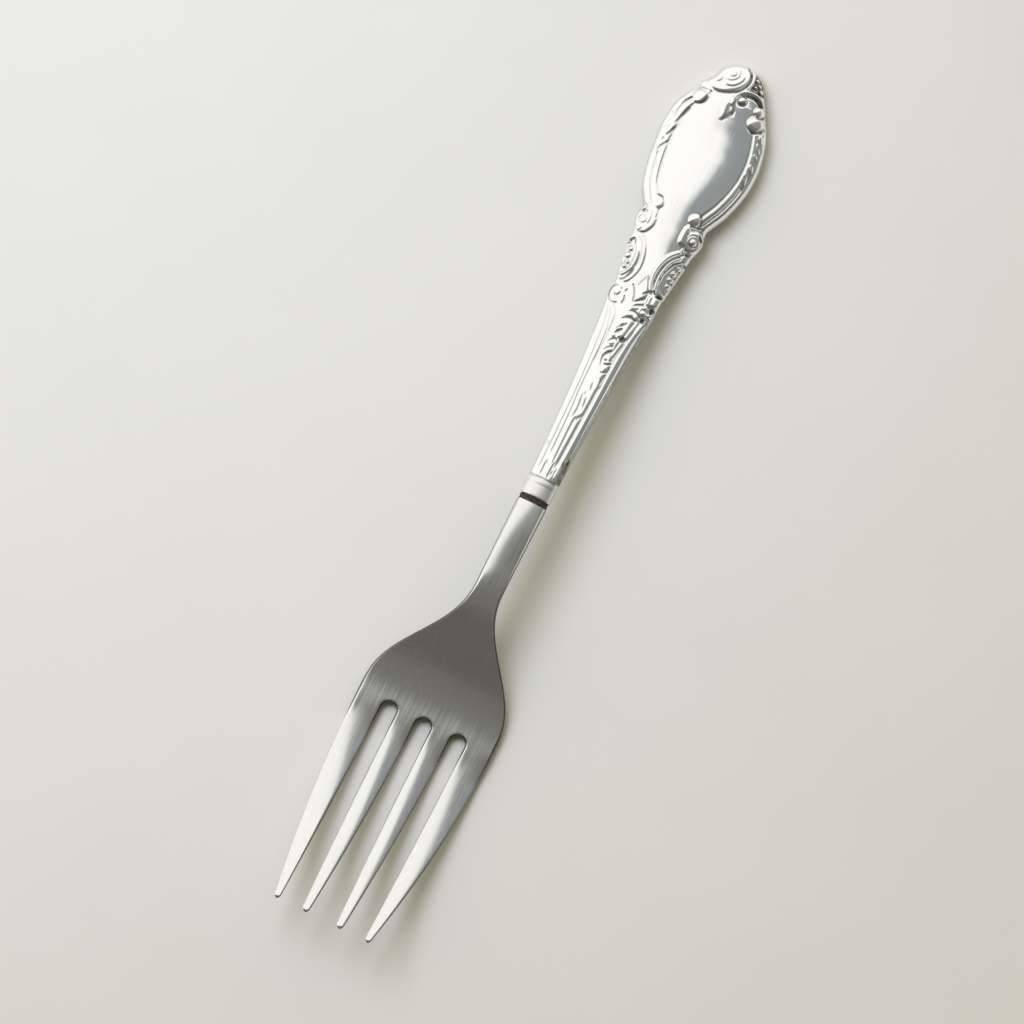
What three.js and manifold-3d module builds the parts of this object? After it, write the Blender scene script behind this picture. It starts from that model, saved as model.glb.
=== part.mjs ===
// Table fork with a hollow handle. A forged steel head carries a tang, and the
// tang is cemented into a handle of two struck silver half-shells that are
// soldered together along their edge, behind a plain silver ferrule.
//
// Millimetres. +X runs from the tines to the end of the handle, +Y to the left
// seen from above, +Z up. The fork lies face up on z = 0, and the origin is the
// bottom centre of its box. Lengths along the fork are counted from the
// shoulder of the shank, which is x = 0 until the whole fork is centred.

import * as THREE from "three";
import { mergeVertices } from "three/addons/utils/BufferGeometryUtils.js";
import Module from "manifold-3d";

const wasm = await Module();
wasm.setup();

// Head: lengths along the fork
const TINE_LENGTH = 44.4; // tip to the bottom of a slot
const BOWL_LENGTH = 28.7; // slot bottom to the neck
const SHANK_LENGTH = 17.4; // neck to the shoulder that meets the ferrule
const TIP_ROUND = 1.1; // length of a tine's rounded point
const BOWL_REST = 8; // flat worn under the head, where it rests
const REST_SETBACK = 5.5; // from the slot bottom back to the start of that flat

// Head: widths, across the fork
const HEAD_WIDTH = 29.2;
const TIP_SPREAD = 21; // over the outer tines, at their points
const SLOT_WIDTH = 3.4;
const INNER_TINE_WIDTH = 4.2; // at the slot bottom
const TINE_TIP_WIDTH = 1.2;
const NECK_WIDTH = 5.5;
const SHANK_WIDTH = 6.1;

// Head: thicknesses, and heights of its middle surface
const TIP_THICKNESS = 1.1;
const BOWL_THICKNESS = 2.2;
const NECK_THICKNESS = 2.9;
const SHANK_THICKNESS = 4.7;
const BOWL_DISH = 0.6; // how far the edges of the bowl stand above its middle
const TIP_RISE = 11.4; // of the tips above the bowl
const ARCH_RISE = 12; // of the shank's arch above the bowl
const ARCH_SETBACK = 14; // from the shoulder back to the top of the arch
const BLADE_EDGE = 0.35; // edge radius of the tines and the bowl
const SHANK_EDGE = 1.4; // edge radius of the shank

// Tang
const TANG_LENGTH = 44;
const TANG_WIDTH = 2.8;
const TANG_THICKNESS = 2;
const TANG_END = 0.7; // share of its section that is left at the tang's end
const TANG_NOTCHES = 4; // nicks that grip the cement
const TANG_NOTCH_DEPTH = 0.3;

// Ferrule and the cement line below it
const CEMENT_LINE = 1.3; // length of the dark joint between shank and ferrule
const CEMENT_RECESS = 0.25;
const FERRULE_BAND = 2.6;
const FERRULE_BEAD = 1.2; // length of the half-round bead at its top
const BEAD_HEIGHT = 0.28;
const FERRULE_WIDTH = 6.2;
const FERRULE_THICKNESS = 5.1;
const FERRULE_WALL = 0.4;
const SPIGOT_LENGTH = 4; // sleeve that reaches up into the shells
const SOLDER = 0.2; // thickness of the solder in each joint
const SEAM_WIDTH = 0.3; // of the solder between the shells, inwards from their edge

// Handle shells
const SHELL_WALL = 0.6;
const STEM_LENGTH = 56.8; // mouth to the middle of the rosettes
const STEM_TOP_WIDTH = 13.2; // of the stem's taper, at the rosettes
const STEM_FLARE = 0.6; // share of the taper that comes late, as a flare
const ROSETTE_RADIUS = 2.4;
const ROSETTE_SPREAD = 4.95; // from the middle line to a rosette's centre
const ROSETTE_TO_OVAL = 19; // rosettes to the widest place of the oval
const OVAL_WIDTH = 21.6;
const OVAL_BELOW = 20.9; // half-length of the oval towards the stem
const OVAL_ABOVE = 13.7; // half-length towards the crest
const OVAL_TO_END = 18.2; // widest place to the end of the handle
const CREST_WIDTH = 12.8;
const CREST_LENGTH = 9.7;
const FRONT_HEIGHT = 3.9; // of the front shell over the seam, at the oval
const BACK_HEIGHT = 1.8; // of the back shell under the seam, at the oval
const SWELL_LENGTH = 35; // before the oval, over which both heights change
const SECTION_POWER = 2.2; // 2 is an ellipse, more is squarer

// Struck relief of the shells
const FLUTE_DEPTH = 0.22;
const FLUTE_RUNOUT = 2.5; // over which the flutes fade at both ends
const RIM_HEIGHT = 0.4;
const ROSETTE_HEIGHT = 0.6;
const LEAF_LENGTH = 34;
const LEAF_REACH = 8.4; // of the leaf's point past the flutes
const LEAF_HALF_WIDTH = 1.6;
const LEAF_HEIGHT = 0.45;
const LEAF_LOBES = 6;
const SCROLL_RADIUS = 6.2; // of the C-scrolls between leaf and rosettes
const SCROLL_HALF_WIDTH = 0.8;
const SCROLL_HEIGHT = 0.45;
const PEARL_RADIUS = 1.1;
const PEARL_HEIGHT = 0.6;
const VOLUTE_RADIUS = 4.3; // of the big curl on the crest
const VOLUTE_HEIGHT = 0.7;
const BACK_RELIEF = 0.6; // share of the relief's height that the back shell has

// Clearance between pieces that are fitted into each other
const FIT_GAP = 0.1;

// Steps along and around the lofted bodies
const TINE_STEPS = 16;
const BOWL_STEPS = 12;
const SHANK_STEPS = 5;
const STEM_STEPS = 24;
const OVAL_STEPS = 36;
const CREST_STEPS = 9;
const FRONT_STEPS = 31;
const BACK_STEPS = 17; // odd, so that a flat facet lies along the middle line
const SLEEVE_STEPS = 10; // around each half of a sleeve or core

// Places along the fork, from the shoulder of the shank
const xTip = -(TINE_LENGTH + BOWL_LENGTH + SHANK_LENGTH);
const xSlot = xTip + TINE_LENGTH;
const xRest = xSlot - REST_SETBACK;
const xRestEnd = xRest + BOWL_REST;
const xNeck = -SHANK_LENGTH;
const xArch = -ARCH_SETBACK;
const xBand = CEMENT_LINE;
const xBead = xBand + FERRULE_BAND;
const xFerruleTop = xBead + FERRULE_BEAD;
const xMouth = xFerruleTop + SOLDER + 2 * FIT_GAP;
const xSpigot = xFerruleTop + SPIGOT_LENGTH;
const xRosette = xMouth + STEM_LENGTH;
const xOval = xRosette + ROSETTE_TO_OVAL;
const xEnd = xOval + OVAL_TO_END;
const xCrest = xEnd - CREST_LENGTH;
const seamGap = SOLDER + 2 * FIT_GAP;

const lerp = THREE.MathUtils.lerp;
const clamp01 = (t) => THREE.MathUtils.clamp(t, 0, 1);
const share = (x, from, to) => clamp01((x - from) / (to - from));
const ease = (x, from, to) => THREE.MathUtils.smoothstep(x, from, to);
const spaced = (from, to, steps) => Array.from({ length: steps + 1 }, (_, i) => lerp(from, to, i / steps));

// Height of the middle surface: tines rise from the bowl, the shank arches
// over, and the handle comes down to lie on its back.
function middle(x) {
  const bowl = BOWL_THICKNESS / 2;
  const arch = bowl + ARCH_RISE;
  if (x < xRest) return bowl + TIP_RISE * ((xRest - x) / (xRest - xTip)) ** 2;
  if (x < xArch) return lerp(bowl, arch, ease(x, xRestEnd, xArch));
  return lerp(arch, BACK_HEIGHT + seamGap / 2, ease(x, xArch, xOval));
}

// Closed body over a list of rings, each a closed loop of points that runs
// anticlockwise seen from the far end, with a fan of triangles on both ends.
function loft(rings) {
  const count = rings[0].length;
  const points = rings.flat();
  const faces = [];
  for (let i = 0; i + 1 < rings.length; i++) {
    for (let j = 0; j < count; j++) {
      const a = i * count + j;
      const b = i * count + ((j + 1) % count);
      faces.push(a, b, b + count, a, b + count, a + count);
    }
  }
  const centreOf = (ring) => ring.reduce((sum, p) => sum.add(p), new THREE.Vector3()).divideScalar(count);
  const first = points.push(centreOf(rings[0])) - 1;
  const last = points.push(centreOf(rings[rings.length - 1])) - 1;
  const lastRing = (rings.length - 1) * count;
  for (let j = 0; j < count; j++) {
    const next = (j + 1) % count;
    faces.push(first, next, j, last, lastRing + j, lastRing + next);
  }
  return new THREE.BufferGeometry().setFromPoints(points).setIndex(faces);
}

// Boolean work: a geometry as a solid, and a solid as a geometry
function solid(geometry) {
  const bare = geometry.clone();
  bare.deleteAttribute("normal");
  bare.deleteAttribute("uv");
  const merged = mergeVertices(bare, 1e-4);
  return new wasm.Manifold(
    new wasm.Mesh({
      numProp: 3,
      vertProperties: merged.attributes.position.array,
      triVerts: new Uint32Array(merged.index.array),
    }),
  );
}

function geometryOf(made) {
  const mesh = made.getMesh();
  return new THREE.BufferGeometry()
    .setAttribute("position", new THREE.BufferAttribute(mesh.vertProperties, 3))
    .setIndex(new THREE.BufferAttribute(mesh.triVerts, 1));
}

// Closed ring of a squared ellipse at x: half-width w, height up and height
// down from the middle surface. It runs anticlockwise seen from +X.
function sleeveRing(x, w, up, down, power = SECTION_POWER, steps = SLEEVE_STEPS) {
  const squared = (v) => Math.sign(v) * Math.abs(v) ** (2 / power);
  const ring = [];
  for (let i = 0; i < 2 * steps; i++) {
    const angle = (Math.PI * i) / steps;
    const rise = squared(Math.sin(angle));
    ring.push(new THREE.Vector3(x, w * squared(Math.cos(angle)), middle(x) + rise * (rise > 0 ? up : down)));
  }
  return ring;
}

// Head

const tineRootOuter = SLOT_WIDTH / 2 + INNER_TINE_WIDTH;
const outerTineInside = tineRootOuter + SLOT_WIDTH;
const innerTipCentre = SLOT_WIDTH / 2 + INNER_TINE_WIDTH / 2;
const outerTipCentre = TIP_SPREAD / 2 - TINE_TIP_WIDTH / 2;

// Half-width of the blank: the outer tines swell to the slots, an ogee draws
// the bowl in to the neck, and the shank widens a little to its shoulder.
function headHalfWidth(x) {
  const widest = HEAD_WIDTH / 2;
  const point = TIP_SPREAD / 2;
  if (x < xTip + TIP_ROUND) {
    const t = 1 - share(x, xTip, xTip + TIP_ROUND);
    return outerTipCentre + (point - outerTipCentre) * Math.sqrt(1 - t * t);
  }
  if (x < xSlot) return widest - (widest - point) * (1 - share(x, xTip + TIP_ROUND, xSlot)) ** 2;
  if (x < xNeck) return lerp(widest, NECK_WIDTH / 2, THREE.MathUtils.smootherstep(x, xSlot, xNeck));
  return lerp(NECK_WIDTH, SHANK_WIDTH, share(x, xNeck, 0)) / 2;
}

function headThickness(x) {
  if (x < xRest) return lerp(TIP_THICKNESS, BOWL_THICKNESS, share(x, xTip, xRest));
  if (x < xNeck) return lerp(BOWL_THICKNESS, NECK_THICKNESS, ease(x, xRestEnd, xNeck));
  return lerp(NECK_THICKNESS, SHANK_THICKNESS, ease(x, xNeck, 0));
}

// Rounded slab section of the blank, dished across the bowl.
function headRing(x) {
  const w = headHalfWidth(x);
  const half = headThickness(x) / 2;
  const edge = Math.min(lerp(BLADE_EDGE, SHANK_EDGE, ease(x, xSlot, 0)), 0.9 * half, 0.9 * w);
  const dish = BOWL_DISH * ease(x, xTip, xSlot) * (1 - ease(x, xSlot, xNeck));
  const across = [-1, -0.75, -0.5, -0.3, 0.3, 0.5, 0.75, 1];
  const corners = [Math.PI / 8, (3 * Math.PI) / 8];
  const flat = w - edge;
  const loop = [
    ...across.map((t) => [-t * flat, half]),
    ...corners.map((a) => [-flat - edge * Math.sin(a), half - edge + edge * Math.cos(a)]),
    ...corners.map((a) => [-flat - edge * Math.cos(a), edge - half - edge * Math.sin(a)]),
    ...across.map((t) => [t * flat, -half]),
    ...corners.map((a) => [flat + edge * Math.sin(a), edge - half - edge * Math.cos(a)]),
    ...corners.map((a) => [flat + edge * Math.cos(a), half - edge + edge * Math.sin(a)]),
  ];
  return loop.map(([y, z]) => {
    const lift = dish * ease(Math.abs(y) / w, across[4], 1);
    return new THREE.Vector3(x, y, middle(x) + z + lift);
  });
}

// Plan of one slot, from its round bottom to past the points of the tines on
// both sides. An edge has its place at the root and at the tip, and the middle
// of the tine that it belongs to.
function slotPlan(lower, upper) {
  const half = (upper.root - lower.root) / 2;
  const xRound = xSlot - half;
  const xPoint = xTip + TIP_ROUND;
  const xBetween = (xRound + xPoint) / 2;
  const beyond = xTip - SLOT_WIDTH;
  const plan = new THREE.Shape();
  plan.moveTo(xRound, lower.root);
  plan.absarc(xRound, lower.root + half, half, -Math.PI / 2, Math.PI / 2, false);
  plan.quadraticCurveTo(xBetween, upper.root, xPoint, upper.tip);
  plan.absellipse(xPoint, upper.centre, TIP_ROUND, upper.centre - upper.tip, -Math.PI / 2, -Math.PI, true);
  plan.lineTo(beyond, upper.centre);
  plan.lineTo(beyond, lower.centre);
  plan.lineTo(xTip, lower.centre);
  plan.absellipse(xPoint, lower.centre, TIP_ROUND, lower.tip - lower.centre, Math.PI, Math.PI / 2, true);
  plan.quadraticCurveTo(xBetween, lower.root, xRound, lower.root);
  return plan;
}

function slotCutters() {
  const edge = (root, centre, side) => ({ root, centre, tip: centre + (side * TINE_TIP_WIDTH) / 2 });
  const plans = [
    slotPlan(edge(-SLOT_WIDTH / 2, -innerTipCentre, 1), edge(SLOT_WIDTH / 2, innerTipCentre, -1)),
    slotPlan(edge(tineRootOuter, innerTipCentre, 1), edge(outerTineInside, outerTipCentre, -1)),
    slotPlan(edge(-outerTineInside, -outerTipCentre, 1), edge(-tineRootOuter, -innerTipCentre, -1)),
  ];
  const depth = 2 * (TIP_RISE + ARCH_RISE + BOWL_THICKNESS);
  return plans.map((plan) => {
    const cutter = new THREE.ExtrudeGeometry(plan, { depth, bevelEnabled: false, curveSegments: 10 });
    return solid(cutter.translate(0, 0, -depth / 2));
  });
}

// Tang: it tapers, and is nicked where the filler holds it. Grown by a gap and
// without its nicks, it is also the socket for itself.
function tangRings(grow) {
  const rings = [];
  const section = (x, nick) => {
    const left = lerp(1, TANG_END, share(x, 0, TANG_LENGTH));
    const w = (TANG_WIDTH / 2) * left - (grow > 0 ? 0 : nick) + grow;
    const h = (TANG_THICKNESS / 2) * left + grow;
    rings.push(sleeveRing(x, w, h, h, 4, 6));
  };
  section(-SHANK_THICKNESS / 4, 0);
  for (const x of spaced(0, xSpigot, 3)) section(x, 0);
  const span = (TANG_LENGTH - xSpigot) / (TANG_NOTCHES + 1);
  for (let i = 1; i <= TANG_NOTCHES; i++) {
    const x = xSpigot + i * span;
    section(x - span / 4, 0);
    section(x, TANG_NOTCH_DEPTH);
    section(x + span / 8, 0);
  }
  section(TANG_LENGTH + grow, 0);
  return rings;
}

function forkHead() {
  const stations = [
    ...spaced(xTip, xTip + TIP_ROUND, 3),
    ...spaced(xTip + TIP_ROUND, xRest, TINE_STEPS).slice(1),
    xSlot,
    ...spaced(xRestEnd, xNeck, BOWL_STEPS),
    ...spaced(xNeck, 0, SHANK_STEPS).slice(1),
  ];
  let made = solid(loft(stations.map(headRing)));
  for (const cutter of slotCutters()) made = made.subtract(cutter);
  return geometryOf(made.add(solid(loft(tangRings(0)))));
}

// Handle

// Half-width of the plain outline: tapered stem, egg-shaped oval and crest.
function outline(x) {
  const t = share(x, xMouth, xRosette);
  const stem = lerp(FERRULE_WIDTH, STEM_TOP_WIDTH, lerp(t, t * t, STEM_FLARE)) / 2;
  const along = (x - xOval) / (x < xOval ? OVAL_BELOW : OVAL_ABOVE);
  const oval = (OVAL_WIDTH / 2) * Math.sqrt(Math.max(0, 1 - along * along));
  const up = (x - xCrest) / CREST_LENGTH;
  const crest = up > 0 ? (CREST_WIDTH / 2) * Math.sqrt(Math.max(0, 1 - up * up)) : 0;
  return Math.max(x < xRosette ? stem : 0, oval, crest);
}

// The rosettes stand out past the plain outline.
function handleHalfWidth(x) {
  const across = 1 - ((x - xRosette) / ROSETTE_RADIUS) ** 2;
  const rosette = across > 0 ? ROSETTE_SPREAD + ROSETTE_RADIUS * Math.sqrt(across) : 0;
  return Math.max(outline(x), rosette);
}

// Height over or under the seam, from the ferrule's to the oval's, then
// rounded off over the crest.
function handleHeight(x, full) {
  const height = lerp(FERRULE_THICKNESS / 2, full, ease(x, xOval - SWELL_LENGTH, xOval));
  const up = clamp01((x - xCrest) / CREST_LENGTH);
  return height * (1 - up * up) ** 0.4;
}

// Stations along the handle, closer together where the relief is finer.
function handleStations() {
  const xScroll = xRosette - ROSETTE_RADIUS - 2 * SCROLL_RADIUS;
  const crest = spaced(0, Math.PI / 2, CREST_STEPS).slice(1);
  return [
    ...spaced(xMouth, xScroll, STEM_STEPS),
    ...spaced(xScroll, xCrest, OVAL_STEPS).slice(1),
    ...crest.map((angle) => xCrest + CREST_LENGTH * Math.sin(0.985 * angle)),
  ];
}

const dome = (distance, radius, height) => height * Math.sqrt(Math.max(0, 1 - (distance / radius) ** 2));
const ridge = (distance, half, height) => (Math.abs(distance) < half ? height * (1 - (distance / half) ** 2) : 0);

// Struck relief, as a height over the plain surface of a shell.
function relief(x, y) {
  const w = handleHalfWidth(x);
  const off = Math.abs(y);
  const fluteEnd = xMouth + STEM_LENGTH - 3 * SCROLL_RADIUS;
  const fluted = ease(x, xMouth, xMouth + FLUTE_RUNOUT) * (1 - ease(x, fluteEnd - FLUTE_RUNOUT, fluteEnd));
  const flutes = -FLUTE_DEPTH * fluted * (0.5 - 0.5 * Math.cos((6 * Math.PI * off) / w)) * (off > w / 3 ? 1 : 0);

  const fromTip = x - (fluteEnd + LEAF_REACH - LEAF_LENGTH);
  const lobe = 0.75 + 0.25 * Math.sin((2 * Math.PI * LEAF_LOBES * fromTip) / LEAF_LENGTH);
  const leafing = Math.sin(Math.PI * clamp01(fromTip / LEAF_LENGTH) ** 1.5);
  const leaf = ridge(y, LEAF_HALF_WIDTH * lobe, LEAF_HEIGHT * leafing);

  const xScroll = xRosette - ROSETTE_RADIUS - SCROLL_RADIUS;
  const fromScroll = Math.hypot(x - xScroll, off - w - SCROLL_HALF_WIDTH) - SCROLL_RADIUS + SCROLL_HALF_WIDTH;
  const scroll = ridge(fromScroll, SCROLL_HALF_WIDTH, SCROLL_HEIGHT);

  const rosette = dome(Math.hypot(x - xRosette, off - ROSETTE_SPREAD), ROSETTE_RADIUS, ROSETTE_HEIGHT);
  const low = Math.hypot(x - xRosette - ROSETTE_RADIUS - PEARL_RADIUS, off - ROSETTE_SPREAD + PEARL_RADIUS);
  const high = Math.hypot(x - xCrest - PEARL_RADIUS, off - CREST_WIDTH / 2 + 2 * PEARL_RADIUS);
  const pearls = dome(low, PEARL_RADIUS, PEARL_HEIGHT) + dome(high, 1.4 * PEARL_RADIUS, PEARL_HEIGHT);

  const along = (x - xOval) / (x < xOval ? OVAL_BELOW : OVAL_ABOVE);
  const round = Math.hypot(along, y / (OVAL_WIDTH / 2));
  const onRim = ease(x, xRosette, xRosette + ROSETTE_RADIUS) * (1 - ease(x, xCrest, xCrest + PEARL_RADIUS));
  const rim = onRim * (ridge(round - 0.92, 0.07, RIM_HEIGHT) + ridge(round - 0.8, 0.05, RIM_HEIGHT / 2));

  const fromCurl = Math.hypot(x - xEnd + VOLUTE_RADIUS, y);
  const curl = dome(fromCurl, VOLUTE_RADIUS, VOLUTE_HEIGHT);
  return flutes + Math.max(leaf, scroll, rosette, pearls, rim, curl);
}

// Half of the handle as a solid body: the arc of one shell and a flat seam
// face. side is 1 for the front and -1 for the back. Relief that would reach
// below the table is worn level with it.
function handleHalf(side, steps) {
  const squared = (v) => Math.sign(v) * Math.abs(v) ** (2 / SECTION_POWER);
  const full = side > 0 ? FRONT_HEIGHT : BACK_HEIGHT;
  const crown = squared(Math.sin((Math.PI * Math.floor(steps / 2)) / steps));
  const rings = handleStations().map((x) => {
    const w = handleHalfWidth(x);
    const height = handleHeight(x, full);
    const seam = middle(x) + (side * seamGap) / 2;
    const arc = [];
    for (let i = 0; i <= steps; i++) {
      const angle = (Math.PI * i) / steps;
      const y = w * squared(Math.cos(angle));
      const rise = Math.max(0, squared(Math.sin(angle))) / crown;
      const struck = relief(x, y) * (side > 0 ? 1 : BACK_RELIEF);
      const z = seam + side * rise * (height + struck);
      arc.push(new THREE.Vector3(x, y, Math.max(0, z)));
    }
    return side > 0 ? arc : arc.reverse();
  });
  return solid(loft(rings));
}

// Body inside the shells, smaller than their outline by an inset all round.
function coreBody(from, to, inset) {
  const between = handleStations().filter((x) => x > from + inset && x < to - inset);
  const rings = [from, ...between, to].map((x) => {
    const at = Math.max(x, xMouth);
    const up = handleHeight(at, FRONT_HEIGHT) + seamGap / 2 - inset;
    const down = handleHeight(at, BACK_HEIGHT) + seamGap / 2 - inset;
    return sleeveRing(x, outline(at) - inset, up, down);
  });
  return solid(loft(rings));
}

const xCavityEnd = xCrest + 0.85 * CREST_LENGTH;

function handleShell(side, steps) {
  const cavity = coreBody(xMouth - FERRULE_BEAD, xCavityEnd, SHELL_WALL);
  return geometryOf(handleHalf(side, steps).subtract(cavity));
}

function fillerCement() {
  const inset = SHELL_WALL + FIT_GAP;
  const socket = solid(loft(tangRings(FIT_GAP)));
  return geometryOf(coreBody(xSpigot + FIT_GAP, xCavityEnd - FIT_GAP, inset).subtract(socket));
}

// Solder between the two shells: a flat band along their edge, from one side
// of the mouth round the end of the handle to the other.
function seamSolder() {
  const ring = (outer, inner) => {
    const corners = [outer, outer, inner, inner];
    const sides = [-1, 1, 1, -1];
    return corners.map((p, i) => new THREE.Vector3(p.x, p.y, middle(p.x) + (sides[i] * SOLDER) / 2));
  };
  const edge = (x, side, inset) => {
    const fromCrest = new THREE.Vector2(Math.max(0, x - xCrest), side * outline(x));
    fromCrest.setLength(fromCrest.length() - inset);
    return new THREE.Vector2(Math.min(x, xCrest) + fromCrest.x, fromCrest.y);
  };
  const band = (side) => (x) => ring(edge(x, side, FIT_GAP), edge(x, side, FIT_GAP + SEAM_WIDTH));
  const stations = handleStations();
  return loft([...stations.map(band(1)), ...stations.reverse().map(band(-1))]);
}

// Ferrule: plain band, half-round bead, and a spigot up inside the shells.
const spigotHalfWidth = FERRULE_WIDTH / 2 - SHELL_WALL - FIT_GAP;
const spigotHalfHeight = FERRULE_THICKNESS / 2 - SHELL_WALL;

function ferruleSolid() {
  const half = FERRULE_THICKNESS / 2 + seamGap / 2;
  const band = (x, grow) => sleeveRing(x, FERRULE_WIDTH / 2 + grow, half + grow, half + grow);
  const spigot = (x) => sleeveRing(x, spigotHalfWidth, spigotHalfHeight, spigotHalfHeight);
  const bead = spaced(xBead, xFerruleTop, 6).map((x, i) => band(x, BEAD_HEIGHT * Math.sin((Math.PI * i) / 6)));
  const outside = [band(xBand, 0), ...bead, spigot(xFerruleTop), spigot(xSpigot)];
  const boreRing = (x) =>
    sleeveRing(x, spigotHalfWidth - FERRULE_WALL, spigotHalfHeight - FERRULE_WALL, spigotHalfHeight - FERRULE_WALL);
  const bore = spaced(xBand - FIT_GAP, xSpigot + FIT_GAP, 4).map(boreRing);
  return geometryOf(solid(loft(outside)).subtract(solid(loft(bore))));
}

// Solder ring between the ferrule's shoulder and the mouth of the shells.
function ferruleSolder() {
  const half = FERRULE_THICKNESS / 2 + seamGap / 2;
  const from = xFerruleTop + FIT_GAP;
  const ring = (x, grow) => sleeveRing(x, FERRULE_WIDTH / 2 + grow, half + grow, half + grow);
  const outside = solid(loft([ring(from, 0), ring(from + SOLDER, 0)]));
  const hole = (x) => sleeveRing(x, spigotHalfWidth + FIT_GAP, spigotHalfHeight + FIT_GAP, spigotHalfHeight + FIT_GAP);
  return geometryOf(outside.subtract(solid(loft([hole(from - SOLDER), hole(from + 2 * SOLDER)]))));
}

// Cement plug: the dark line below the ferrule, and the filling of its bore.
function jointCement() {
  const w = SHANK_WIDTH / 2 - CEMENT_RECESS;
  const h = SHANK_THICKNESS / 2 - CEMENT_RECESS;
  const inBore = spigotHalfWidth - FERRULE_WALL - FIT_GAP;
  const inBoreHeight = spigotHalfHeight - FERRULE_WALL - FIT_GAP;
  const line = [FIT_GAP, xBand - FIT_GAP].map((x) => sleeveRing(x, w, h, h));
  const plug = spaced(xBand - FIT_GAP, xSpigot, 4).map((x) => sleeveRing(x, inBore, inBoreHeight, inBoreHeight));
  const made = solid(loft([...line, ...plug]));
  return geometryOf(made.subtract(solid(loft(tangRings(FIT_GAP)))));
}

// Finishes
const steel = new THREE.MeshStandardMaterial({ color: 0xb9b8b4, roughness: 0.3, metalness: 1 });
const silver = new THREE.MeshStandardMaterial({ color: 0xf0eee6, roughness: 0.15, metalness: 1 });
const solder = new THREE.MeshStandardMaterial({ color: 0xd6d4cc, roughness: 0.25, metalness: 1 });
const cement = new THREE.MeshStandardMaterial({ color: 0x2c261e, roughness: 0.9, metalness: 0 });
const filler = new THREE.MeshStandardMaterial({ color: 0x8c7f6a, roughness: 0.95, metalness: 0 });

const fork = new THREE.Group();
const pieces = [
  ["fork_head", forkHead(), steel],
  ["joint_cement", jointCement(), cement],
  ["ferrule", ferruleSolid(), silver],
  ["ferrule_solder", ferruleSolder(), solder],
  ["handle_front_shell", handleShell(1, FRONT_STEPS), silver],
  ["handle_back_shell", handleShell(-1, BACK_STEPS), silver],
  ["seam_solder", seamSolder(), solder],
  ["filler_cement", fillerCement(), filler],
];
for (const [name, geometry, material] of pieces) {
  const mesh = new THREE.Mesh(geometry, material);
  mesh.name = name;
  fork.add(mesh);
}
fork.position.x = -(xTip + xEnd) / 2;

export default fork;
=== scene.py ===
"""Looks of a table fork: a forged steel head in a hollow silver handle with rococo ornament.

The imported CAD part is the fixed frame. Sizes here are in millimetres along the fork, counted from
the shank's shoulder, and become metres in the frame when a mesh is placed.
"""

import logging
import math
from collections.abc import Iterator
from contextlib import contextmanager
from dataclasses import dataclass, field
from enum import Enum
from typing import ClassVar

import bpy
import numpy as np
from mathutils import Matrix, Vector


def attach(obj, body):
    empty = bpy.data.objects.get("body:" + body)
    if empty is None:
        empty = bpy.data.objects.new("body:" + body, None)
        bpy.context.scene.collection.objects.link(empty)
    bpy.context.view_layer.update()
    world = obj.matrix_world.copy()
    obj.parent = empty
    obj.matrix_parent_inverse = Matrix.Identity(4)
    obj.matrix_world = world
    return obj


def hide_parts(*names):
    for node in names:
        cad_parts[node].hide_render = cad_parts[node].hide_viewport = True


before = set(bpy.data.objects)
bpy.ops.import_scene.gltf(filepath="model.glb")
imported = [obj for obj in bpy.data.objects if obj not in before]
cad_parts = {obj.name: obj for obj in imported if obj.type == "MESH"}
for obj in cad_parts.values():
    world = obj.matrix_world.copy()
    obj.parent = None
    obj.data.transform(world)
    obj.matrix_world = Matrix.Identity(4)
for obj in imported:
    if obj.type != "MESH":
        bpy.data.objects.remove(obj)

LOG = logging.getLogger("table_fork")
# One millimetre in the metres of the frame, and a distance in mm that counts as none.
MM = 0.001
HAIR = 1e-6
# Where the shoulder lies along the frame, in mm.
SHOULDER = -4.5
# How many distances between points and stretches of a line are worked out at once.
LOT_SIZE = 600000
# The CAD body that every piece moves with.
BODY = "root"

Pair = tuple[float, float]
Point = tuple[float, float]
Path = tuple[Point, ...]
Colour = tuple[float, float, float, float]


class Side(Enum):
    """The two struck halves of the handle, with the way each one faces."""

    FRONT = 1
    BACK = -1


class Grain(Enum):
    """The ways in which a grain runs over a piece, as its fineness per metre on each axis."""

    BRUSHED = (45.0, 2600.0, 2600.0)
    WIPED = (160.0, 2200.0, 2200.0)
    CLOUDED = (90.0, 160.0, 160.0)
    EVEN = (900.0, 900.0, 900.0)
    PITTED = (1400.0, 1400.0, 1400.0)
    CRUMBLED = (1600.0, 1600.0, 1600.0)
    POROUS = (800.0, 800.0, 800.0)
    BROAD = (25.0, 25.0, 25.0)


def ramp(x: np.ndarray, start: float, end: float) -> np.ndarray:
    """Share of the way from start to end, held at 0 and 1."""
    return np.clip((x - start) / (end - start), 0.0, 1.0)


def smooth(t: np.ndarray) -> np.ndarray:
    """Eases a share in and out with level ends."""
    t = np.clip(t, 0.0, 1.0)
    return t * t * (3.0 - 2.0 * t)


def smoother(t: np.ndarray) -> np.ndarray:
    """Eases a share in and out with level, uncurved ends."""
    t = np.clip(t, 0.0, 1.0)
    return t ** 3 * (t * (6.0 * t - 15.0) + 10.0)


def grow(least: float, share: np.ndarray) -> np.ndarray:
    """Grows from a least part to the whole as a share goes from 0 to 1."""
    return least + (1 - least) * share


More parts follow.
